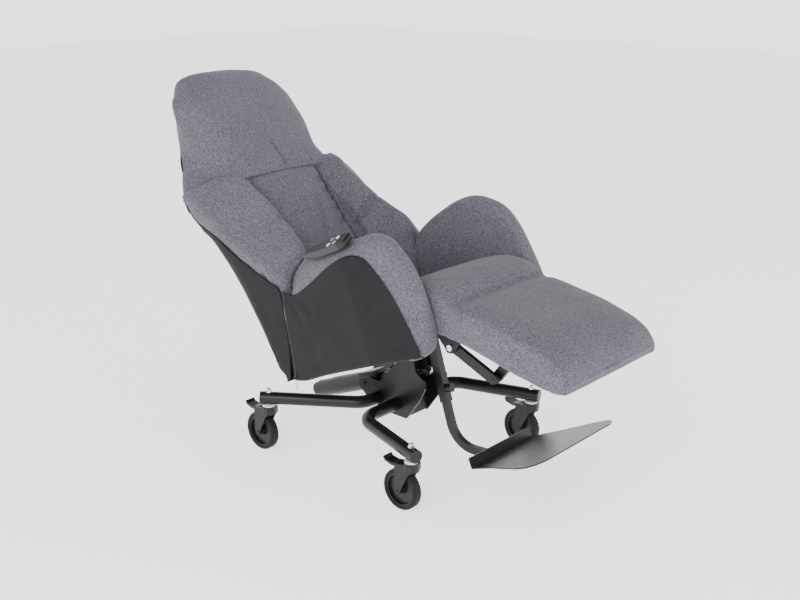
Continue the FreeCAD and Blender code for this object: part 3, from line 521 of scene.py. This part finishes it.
SEAT_HALF = 222
SEAT_ROWS = [
    # top, bottom, half width, crown, belly
    ((-168, 118), (-168, 76), 219, 0, 0), ((-90, 134), (-90, 75), 223, 2, 0),
    ((0, 150), (0, 75), 224, 4, 0), ((90, 161), (90, 75), 225, 5, 0),
    ((180, 167), (180, 75), 226, 5, 0), ((240, 164), (244, 75), 227, 5, 0),
    ((286, 151), (262, 44), 228, 4, 0.2), ((316, 133), (270, 24), 229, 3, 0.3),
    ((338, 112), (280, 17), 229, 2, 0.35), ((352, 94), (290, 11), 229, 1, 0.35),
]
LEG_ROWS = [
    ((4, 84), (2, -9), 228, 2, 0.1), ((34, 91), (38, -8), 227, 3, 0.05),
    ((90, 94), (92, -11), 225, 4, 0), ((170, 95), (170, -13), 225, 5, 0),
    ((245, 92), (245, -17), 225, 5, 0), ((305, 83), (306, -17), 224, 4, 0),
    ((350, 66), (352, -14), 222, 3, 0), ((376, 43), (377, -8), 219, 2, 0),
    ((387, 24), (387, 0), 213, 1, 0),
]
SIDE_SEAM = [
    (-64, 229, 44), (-22, 229, 29), (35, 227, 20), (102, 226, 13), (200, 226, 2), (300, 224, -6),
    (372, 219, -10),
]
EDGE_SEAM = [
    (60, 212, 90), (150, 213, 90), (240, 213, 86), (310, 211, 76), (352, 209, 58), (378, 207, 36),
]


def slab_ring(top, bottom, half_width, crown, belly, place):
    """A cushion's cross-section; belly is how far its middle rises above its side skirts."""
    top = np.array(top, float)
    bottom = np.array(bottom, float)
    rise = top - bottom
    left = [
        (0, 1.0), (0.45, 0.995), (0.80, 0.97), (0.945, 0.88), (0.995, 0.66), (1.0, 0.4), (1.0, 0.12),
        (0.98, 0.0), (0.94, 0.4 * belly), (0.90, belly), (0.5, belly), (0, belly),
    ]
    right = [(-share, level) for share, level in reversed(left[1:-1])]
    ring = []
    for share, level in left + right:
        lift = crown * (1 - share ** 2) if level > 0.6 else 0
        spot = bottom + rise * level
        ring.append((spot[0], half_width * share, spot[1] + lift))
    return place(ring)


def make_seat_cover():
    """The seat cushion and the legrest pad under one cover, with a deep crease at the knee."""
    rings = [slab_ring(*row, shell_points) for row in SEAT_ROWS]
    rings += [slab_ring(*row, legrest_points) for row in LEG_ROWS]
    start = shell_points((-172, 0, 96)) - shell_points((-168, 0, 96))
    end = legrest_points((391, 0, 6)) - legrest_points((388, 0, 6))
    grid = loft(domed(rings, start, end), 190, 190)
    for side in (-1, 1):
        for seam, depth, width in ((SIDE_SEAM, 3.0, 3.2), (EDGE_SEAM, 1.2, 2.2)):
            grid = pressed(grid, [legrest_points((x, side * y, z)) for x, y, z in seam], depth, width)
    crease = [shell_points((357, across * SEAT_HALF, 88)) for across in (-1.0, -0.5, 0, 0.5, 1.0)]
    grid = pressed(grid, crease, 8, 8)
    middle_seam = [legrest_points((along, -30 - along * 0.1, 98)) for along in (60, 150, 240, 330)]
    grid = pressed(grid, middle_seam, 0.8, 2.5)
    grid = rumpled(grid, 2.2, 75, 1)
    cover = tube_mesh("seat_and_legrest_cover", grid, "grey_fabric")
    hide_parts("seat_cushion", "legrest_pad")
    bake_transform(cover)


make_seat_cover()

# ------------------------------------------------------------------ arms

CREST = [
    (-163, 196), (-150, 262), (-124, 300), (-70, 326), (0, 347), (74, 362), (135, 358), (184, 337),
    (230, 302), (262, 252), (284, 193), (295, 140), (299, 88), (296, 34), (285, -10), (264, -30),
]
PANEL_EDGE = [
    (-163, 186), (-150, 204), (-125, 214), (-80, 224), (-41, 236), (36, 263), (108, 281), (146, 282),
    (180, 266), (200, 240), (226, 180), (246, 120), (259, 66), (269, 14), (268, -12), (256, -26),
]
ARM_FOOT = [(236, -26), (222, 60), (100, 70), (-60, 70), (-150, 72), (-162, 130)]
ARM_SECTIONS = [
    # distance from the middle, share of the way from the crest to the panel edge, inset
    (229, 0.04, 22), (231, 0.03, 13), (237, 0.02, 7), (247, 0.01, 3), (262, 0.0, 0), (276, 0.03, -1),
    (290, 0.11, -2), (303, 0.26, -3), (316, 0.47, -3), (328, 0.73, -2), (336, 0.92, 0), (339, 1.0, 3),
]
ARM_HIGHEST = {"right": 323, "left": 400}
ARM_HEART = (70, 150)
ARM_INSIDE = 229
INNER_SEAM = [
    (84, 240, 364), (112, 238, 346), (145, 234, 306), (175, 229, 266), (199, 227, 231), (216, 226, 190),
]
TAPER_START = 110
TAPER_EASE = 14
TAPER = 0.195
SIDE_OUT = 340


def side_taper(points, side, inside):
    """Draw the arm's side in towards the front; what lies at the inside distance stays."""
    points = np.array(points, float)
    ahead = np.clip(points[..., 0] - TAPER_START, 0, None)
    outside = SIDE_OUT - TAPER * ahead ** 2 / (ahead + TAPER_EASE)
    share = (points[..., 1] * side - inside) / (SIDE_OUT - inside)
    points[..., 1] = side * (inside + share * (outside - inside))
    return points


def arm_ring(name, side, across, share, inset):
    """The arm's outline at one distance from the middle; the right arm's crest is flattened."""
    crest = np.array(CREST, float)
    over = crest[:, 1] - ARM_HIGHEST[name]
    crest[:, 1] -= np.where(over > 0, over * 0.94, 0)
    edge = np.array(PANEL_EDGE, float)
    top = crest * (1 - share) + edge * share
    ring = np.vstack([top, np.array(ARM_FOOT, float)])
    away = ring - np.array(ARM_HEART)
    reach = np.linalg.norm(away, axis=1, keepdims=True)
    ring = ring - away / reach * inset
    plain = np.array([(x, side * across, z) for x, z in ring])
    return shell_points(side_taper(plain, side, ARM_INSIDE))


HANDSET_AT = (44, -316, 311)
HANDSET_PITCH = math.radians(4)
HANDSET_ROLL = math.radians(28)
HANDSET_TURN = np.array(
    Matrix.Rotation(-TILT - HANDSET_PITCH, 3, "Y") @ Matrix.Rotation(HANDSET_ROLL, 3, "X")
)
DENT_HALF = (97, 25)
DENT_EASE = 14
DENT_REACH = 60
DENT_GAP = 0.4


def handset_points(points):
    """From the handset's frame: X along it, Z out of its face."""
    return shell_points(HANDSET_AT) + MM * np.asarray(points, float) @ HANDSET_TURN.T


def dented(grid):
    """Press the cloth down under the handset."""
    local = (grid - shell_points(HANDSET_AT)) @ HANDSET_TURN / MM
    beyond = np.maximum(np.abs(local[..., :2]) - DENT_HALF, 0) ** 2
    near = np.exp(-(beyond[..., 0] + beyond[..., 1]) / DENT_EASE ** 2)
    drop = np.maximum(local[..., 2] + DENT_GAP, 0) * near * (local[..., 2] < DENT_REACH)
    lowered = local.copy()
    lowered[..., 2] -= drop
    return shell_points(HANDSET_AT) + MM * lowered @ HANDSET_TURN.T


def make_arm(name, side):
    """One padded arm, with a seam down its inner face; the right one is dented by the handset."""
    rings = [arm_ring(name, side, *section) for section in ARM_SECTIONS]
    inward = shell_points((0, -side * 3, 0)) - shell_points((0, 0, 0))
    grid = loft(domed(rings, inward, -inward * 0.2), 110, 260)
    grid = rumpled(grid, 2.4, 80, 3 + side)
    grid = pressed(grid, [shell_points((x, side * y, z)) for x, y, z in INNER_SEAM], 2.2, 3)
    if name == "right":
        grid = dented(grid)
    arm = tube_mesh("arm_pad_" + name, grid, "grey_fabric")
    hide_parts("arm_cushion_" + name)
    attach(arm, "shell")


for label, hand in HANDS:
    make_arm(label, hand)

# ------------------------------------------------------------------ backrest

WING_ROWS = [
    # height, front at the panel's edge, peak's distance from the middle, peak's front,
    # front at the outer corner, edge of the dark cover
    (66, 112, 236, 150, 120, 96), (120, 128, 238, 185, 158, 140), (181, 140, 240, 215, 188, 182),
    (235, 148, 240, 238, 178, 150), (280, 152, 237, 243, 166, 122), (340, 150, 222, 223, 130, 92),
    (406, 144, 211, 197, 96, 62), (470, 122, 207, 177, 77, 36), (536, 102, 210, 150, 58, 12),
    (580, 96, 224, 130, 44, 3), (606, 92, 236, 106, 34, 2), (626, 84, 250, 84, 28, 2),
]
WING_INSIDE = 148
WING_OUTSIDE = 334
LEFT_WING_RISE = 18
SHOULDER_FLARE = 12
PULL_HEIGHTS = (548, 500, 468, 430, 384, 300)
WING_TUFT = [(106, 150, 345), (140, 158, 362), (173, 172, 381), (201, 197, 397)]
WING_SEAM = WING_TUFT[-1:] + [(208, 226, 400), (178, 272, 402), (135, 306, 408), (84, 334, 412)]


def wing_ring(side, up, front, peak_across, peak_front, outer_front, edge):
    """A wing's outline at one height, flared out at the shoulder; the left wing stands higher."""
    rear = min(46, edge - 2)
    ring = [
        (rear, 150), (front - 40, 146), (front - 9, 146), (front + 2, 152),
        (0.5 * (front + peak_front) + 3, 0.5 * (WING_INSIDE + peak_across)),
        (peak_front - 3, peak_across - 10), (peak_front - 2, peak_across + 9),
        (0.5 * (peak_front + outer_front) + 5, 0.5 * (WING_OUTSIDE + peak_across)),
        (outer_front + 7, 326), (outer_front - 2, 335), (0.5 * (outer_front + edge), 339), (edge, 337),
        (max(rear, edge - 9), 330), (rear, 322), (rear, 240),
    ]
    flare = SHOULDER_FLARE * min(max((up - 430) / 100, 0), 1)
    ring = [(x, y + flare * max(y - 280, 0) / 60) for x, y in ring]
    if side > 0:
        up = up + LEFT_WING_RISE * min(max((up - 470) / 130, 0), 1)
    return back_points([(x, side * y, up) for x, y in ring])


def make_wing(name, side):
    """One padded wing, with a deep tuft, a seam across it and short pulls along its inner edge."""
    rings = [wing_ring(side, *row) for row in WING_ROWS]
    rise = back_points((0, 0, 3)) - back_points((0, 0, 0))
    grid = loft(domed(rings, -rise, rise), 200, 150)
    for path, depth, width in ((WING_TUFT, 19, 14), (WING_SEAM, 4.0, 4.5)):
        grid = pressed(grid, [back_points((x, side * y, up)) for x, y, up in path], depth, width)
    for high in PULL_HEIGHTS:
        pull = [back_points((112, side * 149, high)), back_points((134, side * 160, high + 10))]
        grid = pressed(grid, pull, 6, 9)
    grid = rumpled(grid, 3.0, 85, 7 + side)
    wing = tube_mesh("wing_pad_" + name, grid, "grey_fabric")
    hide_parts("wing_cushion_" + name)
    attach(wing, "shell")


PANEL_ROWS = [
    # height, front
    (66, 100), (110, 112), (170, 116), (250, 112), (340, 108), (430, 108), (520, 110), (590, 108),
    (622, 98),
]
PANEL_FOLDS = [
    # path, depth
    (((112, 74, 480), (113, 66, 430), (115, 42, 380), (116, 24, 340), (115, 14, 300)), 12),
    (((113, -60, 560), (113, -74, 500), (112, -70, 430)), 4),
]
VALLEY_HEIGHTS = (600, 520, 440, 360, 280, 200, 120)


def make_centre_panel():
    """The soft middle of the back, between the wings."""
    rings = []
    for up, front in PANEL_ROWS:
        ring = [
            (52, 0), (52, 110), (60, 158), (84, 166),
            (front - 10, 150), (front - 1, 110), (front + 3, 55), (front + 4, 0),
        ]
        mirrored = [(x, -y) for x, y in reversed(ring[1:-1])]
        rings.append(back_points([(x, y, up) for x, y in ring + mirrored]))
    rise = back_points((0, 0, 6)) - back_points((0, 0, 0))
    grid = loft(domed(rings, -rise, rise), 130, 110)
    for fold, depth in PANEL_FOLDS:
        grid = pressed(grid, [back_points(place) for place in fold], depth, 15)
    for side in (-1, 1):
        valley = [back_points((102, side * 150, high)) for high in VALLEY_HEIGHTS]
        grid = pressed(grid, valley, 14, 15)
        for high in PULL_HEIGHTS:
            pull = [back_points((98, side * 140, high)), back_points((110, side * 112, high - 8))]
            grid = pressed(grid, pull, 9, 10)
    grid = rumpled(grid, 3.6, 80, 11)
    panel = tube_mesh("back_centre_panel", grid, "grey_fabric")
    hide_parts("back_cushion")
    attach(panel, "shell")


HEAD_ROWS = [
    # height, then front and half width of six points from the rear corner to the middle
    (600, (0, 345), (40, 330), (70, 240), (105, 178), (118, 100), (121, 0)),
    (622, (-1, 345), (38, 324), (68, 240), (108, 180), (122, 100), (125, 0)),
    (650, (0, 331), (34, 294), (64, 232), (110, 177), (126, 90), (129, 0)),
    (690, (1, 309), (32, 262), (60, 227), (111, 173), (128, 85), (131, 0)),
    (740, (2, 285), (36, 260), (60, 237), (111, 182), (129, 90), (132, 0)),
    (790, (4, 264), (40, 260), (60, 246), (111, 190), (129, 95), (132, 0)),
    (840, (4, 242), (42, 255), (60, 244), (111, 188), (128, 96), (131, 0)),
    (895, (5, 217), (46, 249), (60, 246), (108, 186), (125, 96), (128, 0)),
    (945, (6, 202), (46, 231), (60, 226), (101, 172), (117, 90), (120, 0)),
    (976, (8, 188), (42, 202), (58, 199), (93, 158), (107, 82), (110, 0)),
    (1006, (14, 166), (40, 184), (58, 180), (81, 148), (93, 75), (96, 0)),
    (1024, (26, 140), (42, 160), (58, 157), (72, 128), (80, 65), (82, 0)),
    (1034, (40, 92), (46, 118), (58, 118), (64, 86), (68, 42), (69, 0)),
]
HEAD_FOLDS = [
    # path, depth
    (((135, -8, 700), (132, 0, 665), (125, 12, 612)), 13), (((122, 116, 668), (116, 122, 612)), 9),
    (((100, -190, 650), (98, -186, 612)), 4),
]


def make_head():
    """The head pillow: its rear corners flare at the shoulders, its front is narrower and rounded."""
    rings = []
    for up, *corners in HEAD_ROWS:
        rear = corners[0][0]
        half_ring = [(rear + 1, 0), (rear, 0.5 * corners[0][1]), (rear, 0.88 * corners[0][1])] + corners
        other = [(x, -y) for x, y in reversed(half_ring[1:-1])]
        rings.append(back_points([(x, y, up) for x, y in half_ring + other]))
    rise = back_points((0, 0, 4)) - back_points((0, 0, 0))
    grid = loft(domed(rings, -rise, rise), 150, 180)
    for fold, depth in HEAD_FOLDS:
        grid = pressed(grid, [back_points(place) for place in fold], depth, 8)
    grid = rumpled(grid, 3.2, 110, 17)
    head = tube_mesh("head_pillow", grid, "grey_fabric")
    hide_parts("head_cushion")
    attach(head, "shell")


for label, hand in HANDS:
    make_wing(label, hand)
make_centre_panel()
make_head()

# ------------------------------------------------------------------ dark covers

SIDE_COVER_TOP = [
    (-166, 236), (-150, 222), (-109, 218), (-41, 238), (36, 266), (108, 284), (148, 284),
    (184, 266), (216, 211), (243, 143), (261, 72), (273, 16), (280, -10),
]
SIDE_COVER_BOTTOM = [
    (-216, -30), (-190, -33), (-160, -32), (-100, -27), (-40, -24), (20, -22), (80, -21),
    (130, -21), (170, -22), (205, -23), (235, -24), (258, -25), (276, -24),
]
COVER_OUT = 339.5
COVER_SWELL = 3.2
COVER_THICKNESS = 2
FOLDS_OUT = 342
COVER_HEM = [
    # distance inwards, drop
    (14, 5), (9, 5), (4, 3.5), (1.2, 1.5),
]
COVER_FOLDS = [
    # start, end, depth
    ((-120, 206), (-60, 160), 2.2), ((-140, 196), (-110, 120), 1.6), ((240, 60), (150, -8), 2.0),
    ((256, 20), (120, -14), 1.5),
]


def thick_sheet(name, grid, thickness, material):
    """An open sheet given a thickness in millimetres against its normals, closed round its rim."""
    rows, columns = grid.shape[:2]
    inner = grid - sheet_normals(grid, around=False) * thickness * MM
    vertices = np.vstack([grid.reshape(-1, 3), inner.reshape(-1, 3)])
    shift = rows * columns
    faces = []
    for row in range(rows - 1):
        for column in range(columns - 1):
            spot = row * columns + column
            quad = (spot, spot + 1, spot + columns + 1, spot + columns)
            faces.append(quad)
            faces.append(tuple(shift + corner for corner in reversed(quad)))
    rim = list(range(columns))
    rim += [row * columns + columns - 1 for row in range(1, rows)]
    rim += [(rows - 1) * columns + column for column in range(columns - 2, -1, -1)]
    rim += [row * columns for row in range(rows - 2, 0, -1)]
    for here, after in zip(rim, rim[1:] + rim[:1]):
        faces.append((here, after, shift + after, shift + here))
    piece = mesh_from(name, vertices, faces, material)
    outward(piece)
    return piece


def make_side_cover(name, side):
    """The stretched dark cover of the shell's side, turned in along its lower edge."""
    columns = 120
    top = spline([(x, 0, z) for x, z in SIDE_COVER_TOP], columns)
    low = spline([(x, 0, z) for x, z in SIDE_COVER_BOTTOM], columns)
    rows = []
    for share in np.linspace(0, 1, 60):
        row = low * (1 - share) + top * share
        swell = COVER_SWELL * math.sin(math.pi * share) ** 0.7
        across = np.sin(np.linspace(0, math.pi, columns)) ** 0.5
        row[:, 1] = side * (COVER_OUT + swell * across)
        rows.append(row)
    hem = []
    for depth, drop in COVER_HEM:
        row = low.copy()
        row[:, 1] = side * (COVER_OUT - depth)
        row[:, 2] -= drop
        hem.append(row)
    grid = shell_points(side_taper(np.array(hem + rows), side, 0))
    for start, end, depth in COVER_FOLDS:
        path = [
            shell_points(side_taper((x, side * FOLDS_OUT, z), side, 0)) for x, z in (start, end)
        ]
        grid = pressed(grid, path, depth, 12, around=False)
    grid = rumpled(grid, 1.6, 120, 23 + side, around=False)
    cover = thick_sheet("side_cover_skin_" + name, grid, COVER_THICKNESS * side, "dark_vinyl")
    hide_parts("side_cover_" + name)
    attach(cover, "shell")


BACK_ROWS = [
    # height, half width, front edge of the cheek, corner radius
    (-44, 337, 20, 12), (0, 339.5, 66, 14), (60, 340, 110, 26), (120, 340, 145, 42),
    (180, 340, 176, 52), (230, 340, 150, 58), (298, 340, 112, 62), (370, 341, 76, 60),
    (455, 343, 44, 46), (520, 345, 14, 16), (572, 345, 4, 6), (604, 344, 3, 5), (622, 342, 3, 5),
    (650, 323, 3, 5), (690, 303, 4, 6), (740, 284, 5, 7), (820, 248, 5, 7), (920, 208, 6, 8),
    (965, 192, 6, 8), (985, 180, 6, 8),
]
BACK_REAR = -3


def make_back_cover():
    """The dark cover round the back: two cheeks, rounded corners and the rear panel."""
    rows = []
    for up, half, front, radius in BACK_ROWS:
        bend = BACK_REAR + radius
        right = [(front, -half), (bend + (front - BACK_REAR - radius) * 0.5, -half - 0.8)]
        for turn in np.linspace(0, math.pi / 2, 7):
            right.append((bend - radius * math.sin(turn), -half + radius - radius * math.cos(turn)))
        right += [(BACK_REAR - 1.5, -half * share) for share in (0.6, 0.3)]
        row = right + [(BACK_REAR - 2, 0)] + [(x, -y) for x, y in reversed(right)]
        dense = evened(spline([(x, y, 0) for x, y in row], 600), 200)
        rows.append(back_points([(x, y, up) for x, y, _ in dense]))
    grid = spline(np.array(rows), 150)
    grid = rumpled(grid, 1.6, 130, 29, around=False)
    cover = thick_sheet("back_cover_skin", grid, COVER_THICKNESS, "dark_vinyl")
    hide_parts("back_cover")
    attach(cover, "shell")


for label, hand in HANDS:
    make_side_cover(label, hand)
make_back_cover()

# ------------------------------------------------------------------ zips

ZIP_TOP = (-167, 233)
ZIP_BOTTOM = (-216, -22)
ZIP_TEETH = 74
TEETH_OUT = 342.4
TOOTH_SIZE = (2.6, 1.2, 1.7)
TOOTH_SHIFT = 0.7
SLIDER_BLOCKS = [
    # distance out, height above the zip's lower end, size
    (344.4, -3, (8, 1.6, 10)), (345.4, -2, (3, 1.4, 6)),
]
BOX_FACES = ((0, 1, 3, 2), (4, 6, 7, 5), (0, 4, 5, 1), (2, 3, 7, 6), (0, 2, 6, 4), (1, 5, 7, 3))


def make_zip(name, side):
    """Two rows of small interlocking teeth and the slider on a zip's tape."""
    vertices = []
    faces = []

    def block(middle, size):
        first = len(vertices)
        for index in range(8):
            shift = [(1 if index >> axis & 1 else -1) * 0.5 * size[axis] for axis in range(3)]
            vertices.append(shell_points([middle[axis] + shift[axis] for axis in range(3)]))
        for face in BOX_FACES:
            faces.append(tuple(first + corner for corner in face))

    for number in range(ZIP_TEETH):
        share = number / (ZIP_TEETH - 1)
        along = ZIP_TOP[0] * (1 - share) + ZIP_BOTTOM[0] * share
        up = ZIP_TOP[1] * (1 - share) + ZIP_BOTTOM[1] * share
        sideways = TOOTH_SHIFT if number % 2 else -TOOTH_SHIFT
        block((along + sideways, side * TEETH_OUT, up), TOOTH_SIZE)
    for out, above, size in SLIDER_BLOCKS:
        block((ZIP_BOTTOM[0] + 0.5, side * out, ZIP_BOTTOM[1] + above), size)
    teeth = mesh_from("zip_teeth_" + name, vertices, faces, "black_steel", smooth=False)
    outward(teeth)
    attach(teeth, "shell")


for label, hand in HANDS:
    make_zip(label, hand)

# ------------------------------------------------------------------ handset

HANDSET_ROWS = [
    # along, half width, low face, high face
    (-97, 7, 7, 18), (-94, 9, 5, 20), (-84, 11, 3, 22), (-66, 16, 2, 23.4), (-40, 21, 1, 24),
    (-10, 24, 0.5, 24), (30, 25, 0.5, 24), (70, 25, 1, 24), (88, 24, 2, 24), (95, 22, 4, 22),
    (97, 19, 7, 19),
]
NOSE_START = 68


def make_handset():
    """The handset's rounded case, with a darker cap over its nose."""
    rings = []
    for along, half, low, high in HANDSET_ROWS:
        middle = (low + high) / 2
        flat = [
            (0, high), (0.5 * half, high), (half - 3.5, high), (half - 0.8, high - 2.2), (half, middle),
            (half - 1, low + 3), (half - 5, low), (0, low),
        ]
        mirrored = [(-y, z) for y, z in reversed(flat[1:-1])]
        rings.append([(along, y, z) for y, z in flat + mirrored])
    grid = handset_points(loft(domed(rings, (-1.5, 0, 0), (1.5, 0, 0)), 90, 72))
    case = tube_mesh("handset_shell", grid, "black_plastic")
    grey = moulded_material("handset_grey", (0.024, 0.024, 0.026), 0.4, 0.55, shine=0.35)
    case.data.materials.append(grey)
    corners = np.array([point.co for point in case.data.vertices])
    local = (corners - shell_points(HANDSET_AT)) @ HANDSET_TURN
    for face in case.data.polygons:
        if max(local[corner][0] for corner in face.vertices) < NOSE_START * MM:
            face.material_index = 1
    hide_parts("handset_case")
    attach(case, "shell")


make_handset()

# ------------------------------------------------------------------ studio

FLOOR_HALF = 14
FLOOR_GLOW = 1.3
SKY_STRENGTH = 2.4
SKY_STOPS = [
    # height of the view's direction, shade
    (0.2, (1, 1, 1, 1)), (0.75, (0.22, 0.22, 0.22, 1)),
]
LIGHTS = [
    # name, place, width, power
    ("key", (1.4, -3.4, 2.6), 2.4, 110), ("fill", (3.4, 1.6, 1.8), 2.6, 30),
]
LIGHTS_AIM = (0, 0, 0.5)


def make_studio():
    """A pale glowing floor, a sky that darkens upwards and two soft lamps."""
    floor_mesh = bpy.data.meshes.new("studio_floor")
    floor_mesh.from_pydata(
        [
            (-FLOOR_HALF, -FLOOR_HALF, 0), (FLOOR_HALF, -FLOOR_HALF, 0),
            (FLOOR_HALF, FLOOR_HALF, 0), (-FLOOR_HALF, FLOOR_HALF, 0),
        ],
        [], [(0, 1, 2, 3)],
    )
    floor = bpy.data.objects.new("studio_floor", floor_mesh)
    nodes = Nodes("studio_floor")
    nodes.finish(
        Base_Color=(0.92, 0.92, 0.92, 1), Roughness=0.9, Specular_IOR_Level=0.0,
        Emission_Color=(1, 1, 1, 1), Emission_Strength=FLOOR_GLOW,
    )
    floor_mesh.materials.append(nodes.material)
    SCENE.collection.objects.link(floor)

    world = bpy.data.worlds.new("studio")
    world.use_nodes = True
    tree = world.node_tree
    background = tree.nodes["Background"]
    background.inputs["Strength"].default_value = SKY_STRENGTH
    direction = tree.nodes.new("ShaderNodeTexCoord")
    height = tree.nodes.new("ShaderNodeSeparateXYZ")
    sky = tree.nodes.new("ShaderNodeValToRGB")
    tree.links.new(direction.outputs["Generated"], height.inputs["Vector"])
    tree.links.new(height.outputs["Z"], sky.inputs["Fac"])
    tree.links.new(sky.outputs["Color"], background.inputs["Color"])
    for stop, (position, color) in zip(sky.color_ramp.elements, SKY_STOPS):
        stop.position = position
        stop.color = color
    SCENE.world = world
    for name, place, width, power in LIGHTS:
        light = bpy.data.lights.new(name, "AREA")
        light.size = width
        light.energy = power
        lamp = bpy.data.objects.new(name, light)
        lamp.location = place
        aim = Vector(LIGHTS_AIM) - Vector(place)
        lamp.rotation_euler = aim.to_track_quat("-Z", "Y").to_euler()
        SCENE.collection.objects.link(lamp)


make_studio()
